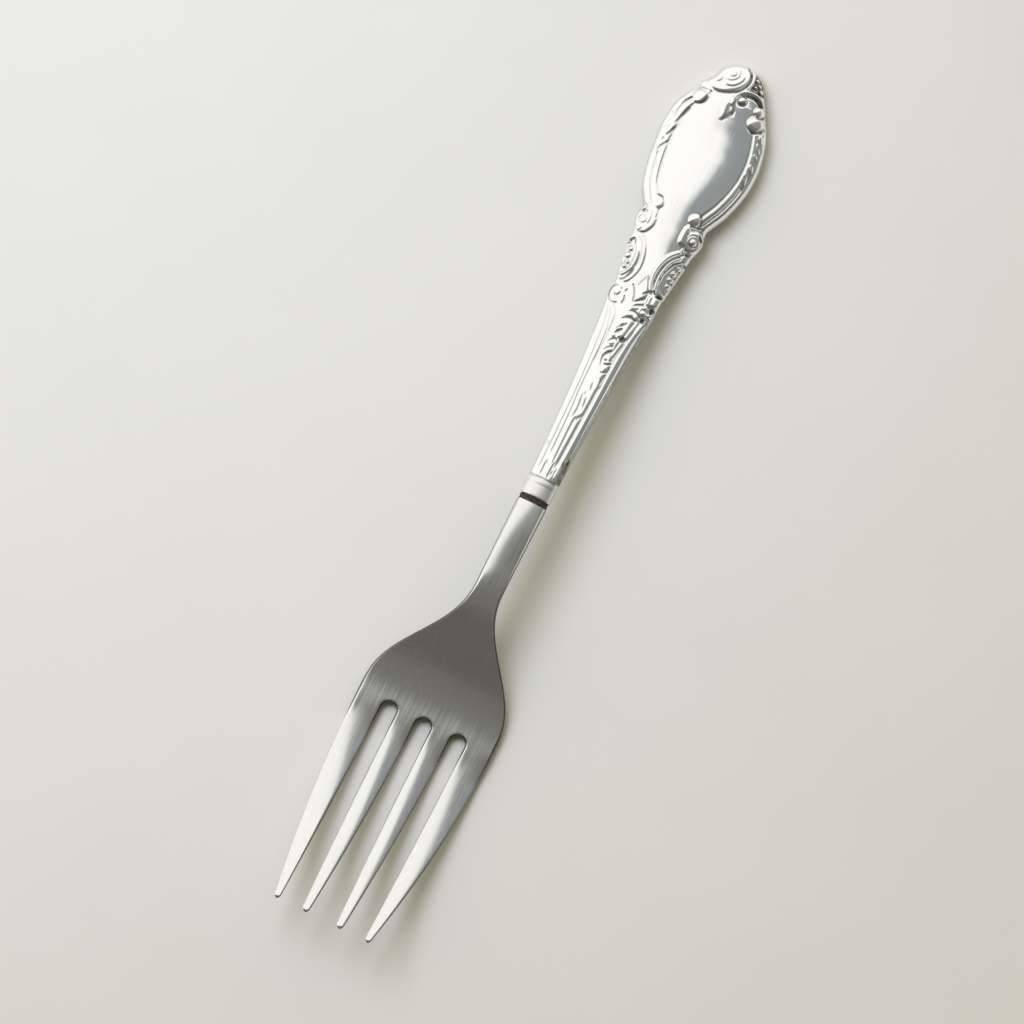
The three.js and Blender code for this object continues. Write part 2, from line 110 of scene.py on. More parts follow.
def trace(path: Path, parts: int = 6) -> np.ndarray:
    """Draws a smooth line through a few points.

    Args:
        path: the points that the line passes through.
        parts: how many pieces each stretch is drawn in.

    Returns:
        The line's points, one row each.
    """
    p = np.array(path, float)
    if len(p) < 3:
        return p
    p = np.vstack([2 * p[0] - p[1], p, 2 * p[-1] - p[-2]])
    t = np.linspace(0, 1, parts, endpoint=False)[:, None]
    out = []
    for a, b, c, d in zip(p[:-3], p[1:-2], p[2:-1], p[3:]):
        out.append(0.5 * (2 * b + (c - a) * t + (2 * a - 5 * b + 4 * c - d) * t ** 2
                          + (3 * b - a - 3 * c + d) * t ** 3))
    return np.vstack(out + [p[-2][None]])


def distance_to_line(points: np.ndarray, line: np.ndarray) -> tuple[np.ndarray, np.ndarray]:
    """Measures how far points lie from a line.

    Args:
        points: the places, one row each.
        line: the line's points, one row each.

    Returns:
        The distance of each point, and its share of the way along the line.
    """
    far = np.empty(len(points))
    share = np.empty(len(points))
    start, run = line[:-1], np.diff(line, axis=0)
    size = np.maximum((run ** 2).sum(1), HAIR ** 2)
    lots = max(1, len(points) * len(run) // LOT_SIZE)
    for lot in np.array_split(np.arange(len(points)), lots):
        step = points[lot, None] - start[None]
        s = np.clip((step * run).sum(2) / size, 0, 1)
        gap = ((step - s[..., None] * run) ** 2).sum(2)
        k = gap.argmin(1)
        row = np.arange(len(lot))
        far[lot] = np.sqrt(gap[row, k])
        share[lot] = (k + s[row, k]) / len(run)
    return far, share


def blur(values: np.ndarray, reach: int) -> np.ndarray:
    """Softens a grid of values over a few cells each way."""
    kernel = np.hanning(2 * reach + 3)[1:-1]
    kernel /= kernel.sum()
    for axis in (0, 1):
        pad = [(reach, reach) if a == axis else (0, 0) for a in (0, 1)]
        wide = np.pad(values, pad, mode="edge")
        values = np.apply_along_axis(lambda row: np.convolve(row, kernel, "valid"), axis, wide)
    return values


@dataclass(frozen=True)
class Places:
    """Where each part of the fork starts, in mm from the shank's shoulder."""

    tip: float = -90.85
    rest_start: float = -48.5
    slot_root: float = -46.1
    rest_end: float = -43.6
    neck: float = -17.4
    arch: float = -14.0
    band: float = 1.3
    bead: float = 3.9
    ferrule_top: float = 5.1
    mouth: float = 5.5
    spigot: float = 9.1
    oval: float = 81.3
    crest: float = 89.8
    turn: float = 97.0
    end: float = 99.75


AT = Places()


@dataclass(frozen=True)
class MiddleLine:
    """The bent line through the middle of the fork's thickness, seen from the side."""

    rest_height: float = 1.1
    tip_rise: float = 11.4
    arch_rise: float = 12.0
    handle_height: float = 2.0
    sway: float = -0.28
    sway_span: Pair = (-40.0, -18.0)
    tip_sway: float = 0.2
    tip_sway_span: Pair = (50.0, 90.0)
    bowl_lead: float = 2.0

    def height(self, x: np.ndarray) -> np.ndarray:
        """Height of the line over the table at each place along the fork."""
        x = np.asarray(x, float)
        tines = self.rest_height + self.tip_rise * ramp(-x, -AT.rest_start, -AT.tip) ** 2
        bowl = self.rest_height + self.arch_rise * smoother(ramp(x, AT.rest_end - self.bowl_lead, AT.arch))
        top = self.rest_height + self.arch_rise
        handle = top + (self.handle_height - top) * smooth(ramp(x, AT.arch, AT.oval))
        return np.where(x < AT.rest_start, tines, np.where(x < AT.arch, bowl, handle))

    def side(self, x: np.ndarray) -> np.ndarray:
        """How far the tips, the shank and the joint stand to the side of the axis."""
        x = np.asarray(x, float)
        shank = smooth(ramp(x, *self.sway_span))
        return self.sway * shank + self.tip_sway * ramp(-x, *self.tip_sway_span)


MIDDLE = MiddleLine()


def box_ring(x: float, half: Pair, bend: float, points: int) -> np.ndarray:
    """One ring round the fork's middle line, with rounded corners.

    Args:
        x: its place along the fork.
        half: half of its width and half of its depth.
        bend: how round it is, from 0 for a box to 1 for an oval.
        points: how many points it has.

    Returns:
        The ring's points, one row each.
    """
    turn = np.linspace(0, 2 * math.pi, points, endpoint=False)
    wide, deep = half
    flat = np.sign(np.cos(turn)) * np.abs(np.cos(turn)) ** bend * wide
    tall = np.sign(np.sin(turn)) * np.abs(np.sin(turn)) ** bend * deep
    return np.column_stack([np.full(points, x), flat + MIDDLE.side(x), tall + MIDDLE.height(x)])


def circle(centre: Point, radius: float, points: int = 13) -> Path:
    """The points of a round line, the last one on the first."""
    turn = np.linspace(0, 2 * math.pi, points)
    return tuple((centre[0] + radius * math.cos(a), centre[1] + radius * math.sin(a)) for a in turn)


def round_end(rows: int) -> np.ndarray:
    """Places along the handle's rounded end, closer together towards its very end."""
    return AT.turn + (AT.end - AT.turn) * np.sin(np.linspace(0, math.pi / 2, rows))


class Workshop:
    """The few ways of working a mesh that the pieces share."""

    merge_gap: float = 2e-6
    sliver: float = 1e-7

    @staticmethod
    def clear() -> None:
        """Leaves nothing selected, so that an operator meets only the new piece."""
        if bpy.context.mode != "OBJECT":
            bpy.ops.object.mode_set(mode="OBJECT")
        bpy.ops.object.select_all(action="DESELECT")

    @staticmethod
    @contextmanager
    def editing(by_face: bool = False) -> Iterator[None]:
        """Holds edit mode open for the operators inside, picking by vertices or by faces."""
        bpy.context.tool_settings.mesh_select_mode = (not by_face, False, by_face)
        bpy.ops.object.mode_set(mode="EDIT")
        yield
        bpy.ops.object.mode_set(mode="OBJECT")

    @classmethod
    def sheet(cls, name: str, stations: int, columns: int) -> bpy.types.Object:
        """Adds a flat grid whose vertices know their place in it.

        Args:
            name: the piece's name.
            stations: rows of vertices along the piece.
            columns: vertices across the piece.

        Returns:
            The new grid, with its marks in the attribute called cell.
        """
        cls.clear()
        bpy.ops.mesh.primitive_grid_add(x_subdivisions=stations - 1, y_subdivisions=columns - 1, size=1.0)
        piece = bpy.context.active_object
        piece.name = piece.data.name = name
        co = cls.places(piece)
        row = np.rint((co[:, 0] + 0.5) * (stations - 1)).astype(np.int32)
        column = np.rint((co[:, 1] + 0.5) * (columns - 1)).astype(np.int32)
        mark = piece.data.attributes.new("cell", "INT", "POINT")
        mark.data.foreach_set("value", row * columns + column)
        return piece

    @classmethod
    def drape(cls, name: str, grid: np.ndarray) -> bpy.types.Object:
        """Adds a sheet and lays it over a grid of places.

        Args:
            name: the piece's name.
            grid: the places, laid out as row, column and place.

        Returns:
            The shaped sheet, still open.
        """
        piece = cls.sheet(name, *grid.shape[:2])
        cls.settle(piece, grid.reshape(-1, 3)[cls.cells(piece)])
        return piece

    @staticmethod
    def places(piece: bpy.types.Object) -> np.ndarray:
        """The piece's vertices, one row each."""
        co = np.zeros(len(piece.data.vertices) * 3, np.float32)
        piece.data.vertices.foreach_get("co", co)
        return co.reshape(-1, 3).astype(float)

    @staticmethod
    def corners(piece: bpy.types.Object, sides: int) -> np.ndarray:
        """The vertices of each face, one row each, where all faces have as many sides."""
        corners = np.zeros(len(piece.data.polygons) * sides, np.int32)
        piece.data.polygons.foreach_get("vertices", corners)
        return corners.reshape(-1, sides)

    @staticmethod
    def cells(piece: bpy.types.Object) -> np.ndarray:
        """The mark of each vertex's place in the grid that it came from."""
        marks = np.zeros(len(piece.data.vertices), np.int32)
        piece.data.attributes["cell"].data.foreach_get("value", marks)
        return marks

    @classmethod
    def drop_faces(cls, piece: bpy.types.Object, faces: np.ndarray) -> None:
        """Deletes the faces that are marked true."""
        piece.data.polygons.foreach_set("select", faces)
        with cls.editing(by_face=True):
            bpy.ops.mesh.delete(type="FACE")

    @classmethod
    def raise_copy(cls, piece: bpy.types.Object) -> np.ndarray:
        """Extrudes the whole sheet upwards into a closed body.

        Args:
            piece: the flat sheet.

        Returns:
            Which vertices belong to the raised side.
        """
        with cls.editing():
            bpy.ops.mesh.select_all(action="SELECT")
            bpy.ops.mesh.extrude_region_move(TRANSFORM_OT_translate={"value": (0.0, 0.0, 0.5)})
        raised = np.zeros(len(piece.data.vertices), bool)
        piece.data.vertices.foreach_get("select", raised)
        return raised

    @staticmethod
    def settle(piece: bpy.types.Object, local: np.ndarray) -> None:
        """Puts the vertices at their places on the fork, given in mm from the shoulder."""
        co = local.copy()
        co[:, 0] += SHOULDER
        piece.data.vertices.foreach_set("co", (co * MM).astype(np.float32).ravel())
        piece.data.update()

    @staticmethod
    def keep(piece: bpy.types.Object, name: str, values: np.ndarray) -> None:
        """Stores a value per vertex for the finish to read."""
        layer = piece.data.attributes.new(name, "FLOAT", "POINT")
        layer.data.foreach_set("value", values.astype(np.float32))

    @classmethod
    def thin(cls, piece: bpy.types.Object, vertices: np.ndarray, share: float) -> None:
        """Leaves only a share of the faces where the vertices are marked."""
        for kind in (piece.data.polygons, piece.data.edges):
            kind.foreach_set("select", np.zeros(len(kind), bool))
        piece.data.vertices.foreach_set("select", vertices)
        with cls.editing():
            bpy.ops.mesh.decimate(ratio=share)

    @classmethod
    def close(cls, piece: bpy.types.Object, angle: float) -> None:
        """Merges what coincides, turns the faces outwards and smooths the shading.

        Args:
            piece: the shaped piece.
            angle: the sharpest bend that is still shaded smooth, in degrees.
        """
        cls.clear()
        bpy.context.view_layer.objects.active = piece
        piece.select_set(True)
        with cls.editing():
            bpy.ops.mesh.select_all(action="SELECT")
            bpy.ops.mesh.remove_doubles(threshold=cls.merge_gap)
            bpy.ops.mesh.dissolve_degenerate(threshold=cls.sliver)
            bpy.ops.mesh.select_all(action="SELECT")
            bpy.ops.mesh.quads_convert_to_tris()
        a, b, c = cls.places(piece)[cls.corners(piece, 3)].transpose(1, 0, 2)
        inside_out = (a * np.cross(b, c)).sum() < 0
        if inside_out:
            with cls.editing():
                bpy.ops.mesh.select_all(action="SELECT")
                bpy.ops.mesh.flip_normals()
        if "cell" in piece.data.attributes:
            piece.data.attributes.remove(piece.data.attributes["cell"])
        bpy.ops.object.shade_smooth_by_angle(angle=math.radians(angle))
        cls.clear()

    @classmethod
    def sleeve(cls, name: str, rings: np.ndarray, angle: float) -> bpy.types.Object:
        """Closes a grid into a ring-shaped body.

        Args:
            name: the piece's name.
            rings: the rings' points, laid out as ring, point and place; the rings run round the
                section and the points round the fork, without a repeated last one.
            angle: the sharpest bend that is still shaded smooth, in degrees.

        Returns:
            The finished piece.
        """
        loop = np.concatenate([rings, rings[:1]], 0)
        piece = cls.drape(name, np.concatenate([loop, loop[:, :1]], 1))
        cls.close(piece, angle)
        return piece


class Nodes:
    """A small hand for wiring one material's or world's nodes."""

    def __init__(self, tree: bpy.types.NodeTree) -> None:
        """Starts from an empty tree."""
        self.tree = tree
        tree.nodes.clear()

    def add(self, kind: str, inputs: dict | None = None, **settings: object) -> bpy.types.Node:
        """Adds a node, sets it and links what it is given.

        Args:
            kind: the node's type.
            inputs: a plain value, or an output socket to link, by input name or number.
            settings: the node's own properties.

        Returns:
            The new node.
        """
        node = self.tree.nodes.new(kind)
        for name, value in settings.items():
            setattr(node, name, value)
        for name, value in (inputs or {}).items():
            if isinstance(value, bpy.types.NodeSocket):
                self.tree.links.new(value, node.inputs[name])
            else:
                node.inputs[name].default_value = value
        return node

    def grain(self, grain: Grain, detail: float = 4.0) -> bpy.types.NodeSocket:
        """Noise on the piece's own coordinates."""
        place = self.add("ShaderNodeTexCoord").outputs["Object"]
        spread = self.add("ShaderNodeMapping", {"Vector": place, "Scale": grain.value})
        noise = self.add("ShaderNodeTexNoise", {
            "Vector": spread.outputs[0], "Scale": 1.0, "Detail": detail, "Roughness": 0.6})
        return noise.outputs["Fac"]

    def span(self, value: bpy.types.NodeSocket, low: float, high: float,
             start: float = 0.3, end: float = 0.7) -> bpy.types.NodeSocket:
        """Spreads a value's run from start to end between two numbers."""
        node = self.add("ShaderNodeMapRange", {
            "Value": value, "From Min": start, "From Max": end, "To Min": low, "To Max": high})
        return node.outputs[0]

    def tint(self, share: object, first: object, second: object, blend: str = "MIX") -> bpy.types.NodeSocket:
        """Mixes two colours by a share."""
        node = self.add("ShaderNodeMix", {0: share, 6: first, 7: second}, data_type="RGBA", blend_type=blend)
        return node.outputs[2]

    def math(self, a: bpy.types.NodeSocket, b: object, operation: str = "MULTIPLY") -> bpy.types.NodeSocket:
        """Joins two values by one operation."""
        node = self.add("ShaderNodeMath", {0: a, 1: b}, operation=operation)
        return node.outputs[0]

    def attribute(self, name: str) -> bpy.types.NodeSocket:
        """A value that the piece's vertices hold."""
        return self.add("ShaderNodeAttribute", attribute_name=name).outputs["Fac"]

    def lean(self, way: bpy.types.NodeSocket, heading: tuple[float, float, float]) -> bpy.types.NodeSocket:
        """How far a direction leans towards a heading."""
        node = self.add("ShaderNodeVectorMath", {0: way, 1: heading}, operation="DOT_PRODUCT")
        return node.outputs["Value"]

    def bump(self, height: bpy.types.NodeSocket, strength: float, depth: float) -> bpy.types.NodeSocket:
        """Small relief of a given depth in metres."""
        node = self.add("ShaderNodeBump", {"Height": height, "Strength": strength, "Distance": depth})
        return node.outputs[0]


class Finish:
    """What every finish shares: one material, made once and put on pieces."""

    name: str
    slot: str

    def shader(self, nodes: Nodes) -> bpy.types.Node:
        """Wires the finish's nodes and gives its shader."""
        raise NotImplementedError

    def material(self) -> bpy.types.Material:
        """The finish's material, made at its first use."""
        found = bpy.data.materials.get(self.name)
        if found is None:
            found = bpy.data.materials.new(self.name)
            found.use_nodes = True
            nodes = Nodes(found.node_tree)
            surface = self.shader(nodes)
            nodes.add("ShaderNodeOutputMaterial", {"Surface": surface.outputs[0]})
        return found

    def put_on(self, piece: bpy.types.Object) -> None:
        """Dresses a piece, over whatever it wore before."""
        piece.data.materials.clear()
        piece.data.materials.append(self.material())


@dataclass(frozen=True)
class SatinSteel(Finish):
    """Forged steel, brushed along the fork to a satin sheen."""

    name: str = "satin_steel"
    slot: str = "steel"
    light: Colour = (0.90, 0.895, 0.87, 1.0)
    dark: Colour = (0.83, 0.825, 0.80, 1.0)
    # dark colour of the painted shade on the walls and along the top edges, read from the wall attribute
    scale: Colour = (0.13, 0.125, 0.115, 1.0)
    edge_shade_span: Pair = (0.02, 0.4)
    roughness: Pair = (0.16, 0.26)
    hand: Pair = (0.85, 1.15)
    relief: Pair = (0.07, 4e-6)

    def shader(self, nodes: Nodes) -> bpy.types.Node:
        """Brush lines in colour, roughness and relief, hand-polished clouds, and painted shade on the walls
        and edges.
        """
        lines = nodes.grain(Grain.BRUSHED)
        clouds = nodes.grain(Grain.CLOUDED, 2.0)
        wall = nodes.attribute("wall")
        brushed = nodes.tint(nodes.span(lines, 0.0, 1.0), self.dark, self.light)
        return nodes.add("ShaderNodeBsdfPrincipled", {
            "Base Color": nodes.tint(nodes.span(wall, 0.0, 1.0, *self.edge_shade_span), brushed, self.scale),
            "Metallic": 1.0,
            "Roughness": nodes.math(nodes.span(lines, *self.roughness), nodes.span(clouds, *self.hand)),
            "Normal": nodes.bump(lines, *self.relief)})


@dataclass(frozen=True)
class PolishedSilver(Finish):
    """Polished silver, darkened by tarnish where the ornament is deep, and by painted shade along its edges.
    """

    name: str = "polished_silver"
    slot: str = "silver"
    bright: Colour = (0.94, 0.935, 0.915, 1.0)
    tarnish_and_shade: Colour = (0.13, 0.12, 0.10, 1.0)
    polish: Pair = (0.085, 0.155)
    speckle: Pair = (0.7, 1.15)
    dulling: float = 0.3
    relief: Pair = (0.2, 3e-6)

    def shader(self, nodes: Nodes) -> bpy.types.Node:
        """Mirror polish with fine wiping lines, and tarnish and painted shade read from the piece."""
        lines = nodes.grain(Grain.WIPED)
        specks = nodes.grain(Grain.EVEN, 3.0)
        stain = nodes.math(nodes.attribute("tarnish_and_shade"), nodes.span(specks, *self.speckle))
        dull = nodes.math(stain, self.dulling)
        return nodes.add("ShaderNodeBsdfPrincipled", {
            "Base Color": nodes.tint(stain, self.bright, self.tarnish_and_shade),
            "Metallic": 1.0,
            "Roughness": nodes.math(nodes.span(lines, *self.polish), dull, "ADD"),
            "Normal": nodes.bump(lines, *self.relief)})


@dataclass(frozen=True)
class GrainyFinish(Finish):
    """A finish whose one grain shows in its colour, roughness and relief."""

    dark: Colour
    light: Colour
    roughness: Pair
    relief: Pair
    grain: Grain
    detail: float
    metallic: float = 0.0

    def shader(self, nodes: Nodes) -> bpy.types.Node:
        """The grain in colour, roughness and relief."""
        grain = nodes.grain(self.grain, self.detail)
        return nodes.add("ShaderNodeBsdfPrincipled", {
            "Base Color": nodes.tint(nodes.span(grain, 0.0, 1.0), self.dark, self.light),
            "Metallic": self.metallic,
            "Roughness": nodes.span(grain, *self.roughness),
            "Normal": nodes.bump(grain, *self.relief)})


@dataclass(frozen=True)
class SolderMetal(GrainyFinish):
    """Grey solder, run and wiped, a little pitted."""

    name: str = "grey_solder"
    slot: str = "solder"
    dark: Colour = (0.66, 0.65, 0.62, 1.0)
    light: Colour = (0.86, 0.85, 0.82, 1.0)
    roughness: Pair = (0.4, 0.22)
    relief: Pair = (0.6, 4e-5)
    grain: Grain = Grain.PITTED
    detail: float = 4.0
    metallic: float = 1.0


@dataclass(frozen=True)
class PitchCement(GrainyFinish):
    """Brown-black pitch that holds the tang, with brown crumbs in it."""

    name: str = "brown_pitch"
    slot: str = "pitch"
    dark: Colour = (0.012, 0.009, 0.007, 1.0)
    light: Colour = (0.075, 0.055, 0.042, 1.0)
    roughness: Pair = (0.45, 0.8)
    relief: Pair = (0.8, 8e-5)
    grain: Grain = Grain.CRUMBLED
    detail: float = 6.0


@dataclass(frozen=True)
class CastFiller(GrainyFinish):
    """Pale plaster with fine pores, cast in the hollow of the handle."""

    name: str = "cast_plaster"
    slot: str = "filler"
    dark: Colour = (0.46, 0.43, 0.38, 1.0)
    light: Colour = (0.66, 0.63, 0.57, 1.0)
    roughness: Pair = (0.75, 0.95)
    relief: Pair = (0.7, 1e-4)
    grain: Grain = Grain.POROUS
    detail: float = 5.0


@dataclass(frozen=True)
class PaleTable(Finish):
    """The matt, warm white table."""

    name: str = "pale_table"
    slot: str = ""
    colour: Colour = (0.80, 0.79, 0.75, 1.0)
    cloud: Colour = (0.785, 0.775, 0.733, 1.0)
    roughness: float = 0.75
    specular: float = 0.2

    def shader(self, nodes: Nodes) -> bpy.types.Node:
        """Matt paint with faint clouds."""
        clouds = nodes.grain(Grain.BROAD, 3.0)
        return nodes.add("ShaderNodeBsdfPrincipled", {
            "Base Color": nodes.tint(nodes.span(clouds, 0.0, 1.0), self.cloud, self.colour),
            "Roughness": self.roughness, "Specular IOR Level": self.specular})


class Piece:
    """What the fork's pieces share: each is built, dressed and set in the frame."""

    node: str

    def build(self) -> bpy.types.Object:
        """Models the piece in its place on the fork."""
        raise NotImplementedError

    def dress(self, piece: bpy.types.Object, finish: Finish) -> None:
        """Puts a finish on the built piece and sets it in the frame for its CAD node."""
        finish.put_on(piece)
        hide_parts(self.node)
        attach(piece, BODY)


@dataclass
class ForkHead(Piece):
    """The forged steel head: four tines, bowl, neck and shank, with the tang behind."""

    node: ClassVar[str] = "fork_head"
    tine_count: ClassVar[int] = 4
    tip_round: float = 1.1
    root_half: float = 14.75
    tip_spread: float = 10.5
    slot_half: float = 1.62
    slot_centre: float = 7.52
    inner_root: float = 5.9
    inner_tip: Pair = (2.9, 4.45)
    bowl_start: float = 0.8
    neck_half: float = 2.92
    shank_half: float = 3.05
    tip_thick: float = 1.1
    bowl_thick: float = 2.2
    neck_thick: float = 2.9
    shank_thick: float = 4.7
    spread_fall: float = 0.0008
    fall_length: float = 12.0
    edge_share: float = 0.22
    shank_edge: float = 0.04
    upper_share: float = 0.75
    lower_share: float = 0.25
    # painted shade in a thin rim along the top edges; on the tines only along the right edge
    rim: float = 0.42
    thin_rim: float = 0.45
    tine_right_shade: float = 0.8
    tine_crown: tuple[float, ...] = (0.24, 0.4, 0.32, 0.2)
    tine_lean: tuple[float, ...] = (0.06, 0.1, 0.055, 0.03)
    tine_end: float = 8.0
    crown_end: float = 0.5
    # where the painted shade on the walls becomes full, before the slots' roots
    edge_shade_end: float = 1.0
    shank_crown: float = 0.05
    shank_blend: Pair = (8.0, 6.0)
    nose: Pair = (0.8, 0.5)
    tip_rows: int = 13
    tine_rows: int = 96
    root_rows: int = 17
    bowl_rows: int = 90
    bowl_crowding: float = 1.15
    shank_rows: int = 40
    tine_columns: int = 19
    column_blend: float = 9.0
    edge_crowding: float = 0.6
    smooth_angle: float = 50.0
    tang_start: float = -0.4
    tang_length: float = 44.0
    tang_half: Pair = (1.4, 1.0)
    tang_bend: float = 0.3
    tang_taper: float = 0.5
    tang_rows: int = 45
    tang_points: int = 24
    tang_angle: float = 40.0
    nick_depth: float = 0.1
    nick_pitch: float = 10.0
    nick_share: float = 0.6

    def stations(self) -> np.ndarray:
        """Places along the head, closer together at the tips and the slots' roots."""
        tips = AT.tip + self.tip_round * (1 - np.cos(np.linspace(0, math.pi / 2, self.tip_rows)))
        centre = AT.slot_root - self.slot_half
        tines = np.linspace(tips[-1], centre, self.tine_rows)[1:]
        roots = centre + self.slot_half * np.sin(np.linspace(0, math.pi / 2, self.root_rows))[1:]
        spread = np.linspace(0, 1, self.bowl_rows)[1:] ** self.bowl_crowding
        bowl = AT.slot_root + (AT.neck - AT.slot_root) * spread
        return np.concatenate([tips, tines, roots, bowl, np.linspace(AT.neck, 0, self.shank_rows)[1:]])

    def half_width(self, x: np.ndarray) -> np.ndarray:
        """Half of the head's whole width."""
        t = ramp(x, AT.tip + self.tip_round, AT.slot_root)
        tines = self.root_half - (self.root_half - self.tip_spread) * (1 - t) ** 2
        bowl = self.root_half + (self.neck_half - self.root_half) * smoother(
            ramp(x, AT.slot_root + self.bowl_start, AT.neck))
        shank = self.neck_half + (self.shank_half - self.neck_half) * ramp(x, AT.neck, 0.0)
        return np.where(x < AT.slot_root, tines, np.where(x < AT.neck, bowl, shank))

    def thickness(self, x: np.ndarray) -> np.ndarray:
        """Thickness of the steel along the head."""
        tines = self.tip_thick + (self.bowl_thick - self.tip_thick) * ramp(x, AT.tip, AT.rest_start)
        bowl = self.bowl_thick + (self.neck_thick - self.bowl_thick) * smooth(ramp(x, AT.rest_end, AT.neck))
        shank = self.neck_thick + (self.shank_thick - self.neck_thick) * smooth(ramp(x, AT.neck, 0.0))
        return np.where(x < AT.rest_start, tines, np.where(x < AT.neck, bowl, shank))

    def is_split(self, x: np.ndarray) -> np.ndarray:
        """Whether the head is split into tines at each place."""
        return x <= AT.slot_root + HAIR

    def tine_edges(self, x: np.ndarray) -> np.ndarray:
        """Edges of the four tines at each place, from right to left.

        Args:
            x: places along the head.

        Returns:
            The near and far edge of each tine, laid out as place, tine and edge.
        """
        rounded = AT.tip + self.tip_round
        bend = (1 - ramp(x, rounded, AT.slot_root)) ** 2
        past = np.maximum(x - AT.slot_root + self.slot_half, 0)
        gap = np.sqrt(np.maximum(self.slot_half ** 2 - past ** 2, 0))
        gap[x >= AT.slot_root] = 0.0
        inner = gap + (self.inner_tip[0] - self.slot_half) * bend
        middle = self.slot_centre - gap - (self.inner_root - self.inner_tip[1]) * bend
        outer = self.slot_centre + gap
        round_off = np.sqrt(np.clip(1 - ((rounded - x) / self.tip_round) ** 2, 0, 1))
        round_off[x >= rounded] = 1.0
        pairs = []
        for low, high in ((inner, middle), (outer, self.half_width(x))):
            centre, half = (low + high) / 2, (high - low) / 2 * round_off
            pairs.append((centre - half, centre + half))
        (a, b), (c, d) = pairs
        return np.stack([np.stack(p, 1) for p in ((-d, -c), (-b, -a), (a, b), (c, d))], 1)

    def plan(self, x: np.ndarray) -> np.ndarray:
        """Where each column lies across the head, at each place along it."""
        edges = self.tine_edges(x)
        across = np.sin(np.linspace(-math.pi / 2, math.pi / 2, self.tine_columns))
        centre, half = edges.mean(2, keepdims=True), (edges[..., 1:] - edges[..., :1]) / 2
        tines = (centre + half * across).reshape(len(x), -1)
        even = np.linspace(-1, 1, tines.shape[1])
        crowded = self.edge_crowding * np.sin(even * math.pi / 2) + (1 - self.edge_crowding) * even
        spread = self.half_width(x)[:, None] * crowded
        scale = (self.half_width(x) / self.root_half)[:, None]
        share = smooth(ramp(x, AT.slot_root, AT.slot_root + self.column_blend))[:, None]
        after = tines[np.searchsorted(x, AT.slot_root - HAIR)][None] * scale
        return np.where(self.is_split(x)[:, None], tines, after + (spread - after) * share)

    def edge_gap(self, x: np.ndarray, y: np.ndarray) -> np.ndarray:
        """Distance of each point of the plan from the nearest edge."""
        edges = self.tine_edges(x)
        split = self.is_split(x)
        wide = self.half_width(x)
        wide[split] = edges[split, -1, 1]
        lines = [np.column_stack([x, side * wide]) for side in (1, -1)]
        for tine in range(self.tine_count):
            for edge in (0, 1):
                lines.append(np.column_stack([x[split], edges[split, tine, edge]]))
        spots = np.column_stack([np.repeat(x, y.shape[1]), y.ravel()])
        return np.min([distance_to_line(spots, line)[0] for line in lines], 0).reshape(y.shape)

    def tine_of_column(self) -> np.ndarray:
        """Which tine each column belongs to."""
        return np.repeat(np.arange(self.tine_count), self.tine_columns)

    def across_tine(self, x: np.ndarray, y: np.ndarray) -> np.ndarray:
        """Distance of each point from its tine's middle, to the left."""
        return y - self.tine_edges(x).mean(2)[:, self.tine_of_column()]

    def crown(self, x: np.ndarray, y: np.ndarray) -> np.ndarray:
        """How far each tine's top falls off towards its edges."""
        edges = self.tine_edges(x)
        tine = self.tine_of_column()
        half = (edges[..., 1] - edges[..., 0])[:, tine] / 2
        share = np.clip(self.across_tine(x, y) / np.maximum(half, HAIR), -1, 1)
        crown, lean = np.array(self.tine_crown)[tine], np.array(self.tine_lean)[tine]
        fade = smooth(ramp(x, AT.slot_root - self.tine_end, AT.slot_root - self.crown_end))
        keep = np.where(x > AT.slot_root, 0, 1 - fade)
        return half * (crown / 2 * share ** 2 - lean * share) * keep[:, None]

    def shank_share(self, x: np.ndarray) -> np.ndarray:
        """How far the bowl has become the shank, in one column."""
        before, after = self.shank_blend
        return smooth(ramp(x, AT.neck - before, AT.neck + after))[:, None]

    def faces(self, x: np.ndarray, y: np.ndarray, gap: np.ndarray) -> tuple[np.ndarray, np.ndarray]:
        """Shapes the head's top and underside.

        Args:
            x: places along the head.
            y: places of the columns across it.
            gap: distance of each point from the nearest edge.

        Returns:
            The points of the top and those of the underside, one row each.
        """
        thick = self.thickness(x)[:, None]
        shank = self.shank_share(x)
        edge = thick * (self.edge_share + self.shank_edge * shank)
        near = np.clip(edge - gap, 0, None)
        drop = edge - np.sqrt(np.maximum(edge ** 2 - near ** 2, 0))
        drop = drop + self.crown(x, y) + self.shank_crown * shank * y ** 2
        nose_length, nose_drop = self.nose
        nose = nose_drop * np.clip(1 - (x - AT.tip) / nose_length, 0, 1)[:, None] ** 2
        flat = smooth(ramp(x, AT.slot_root, AT.slot_root + self.fall_length))[:, None]
        level = MIDDLE.height(x)[:, None] - self.spread_fall * y ** 2 * (1 - flat)
        top = level + thick / 2 - np.minimum(drop + nose, self.upper_share * thick)
        under = np.maximum(level - thick / 2 + np.minimum(drop, self.lower_share * thick), 0)
        along = np.broadcast_to(x[:, None], y.shape)
        across = y + MIDDLE.side(x)[:, None]
        return tuple(np.stack([along, across, face], 2).reshape(-1, 3) for face in (top, under))

    def painted_edge_shade(self, x: np.ndarray, y: np.ndarray, gap: np.ndarray) -> tuple[np.ndarray, np.ndarray]:
        """Painted shade: dark on the sides of the bowl and shank, and in a thin rim along the top edges there
        and along each tine's right edge.

        Args:
            x: places along the head.
            y: places of the columns across it.
            gap: distance of each point from the nearest edge.

        Returns:
            How dark each point of the top and of the sides is, from 0 to 1.
        """
        start = smooth(ramp(x, AT.slot_root - self.tine_end, AT.slot_root - self.edge_shade_end))
        sides = np.broadcast_to(start[:, None], y.shape)
        reach = self.rim * (1 - self.thin_rim * np.maximum(self.shank_share(x), 1 - sides))
        shaded = np.maximum(sides, self.tine_right_shade * (self.across_tine(x, y) < 0))
        return (shaded * smooth((reach - gap) / reach)).ravel(), sides.ravel()

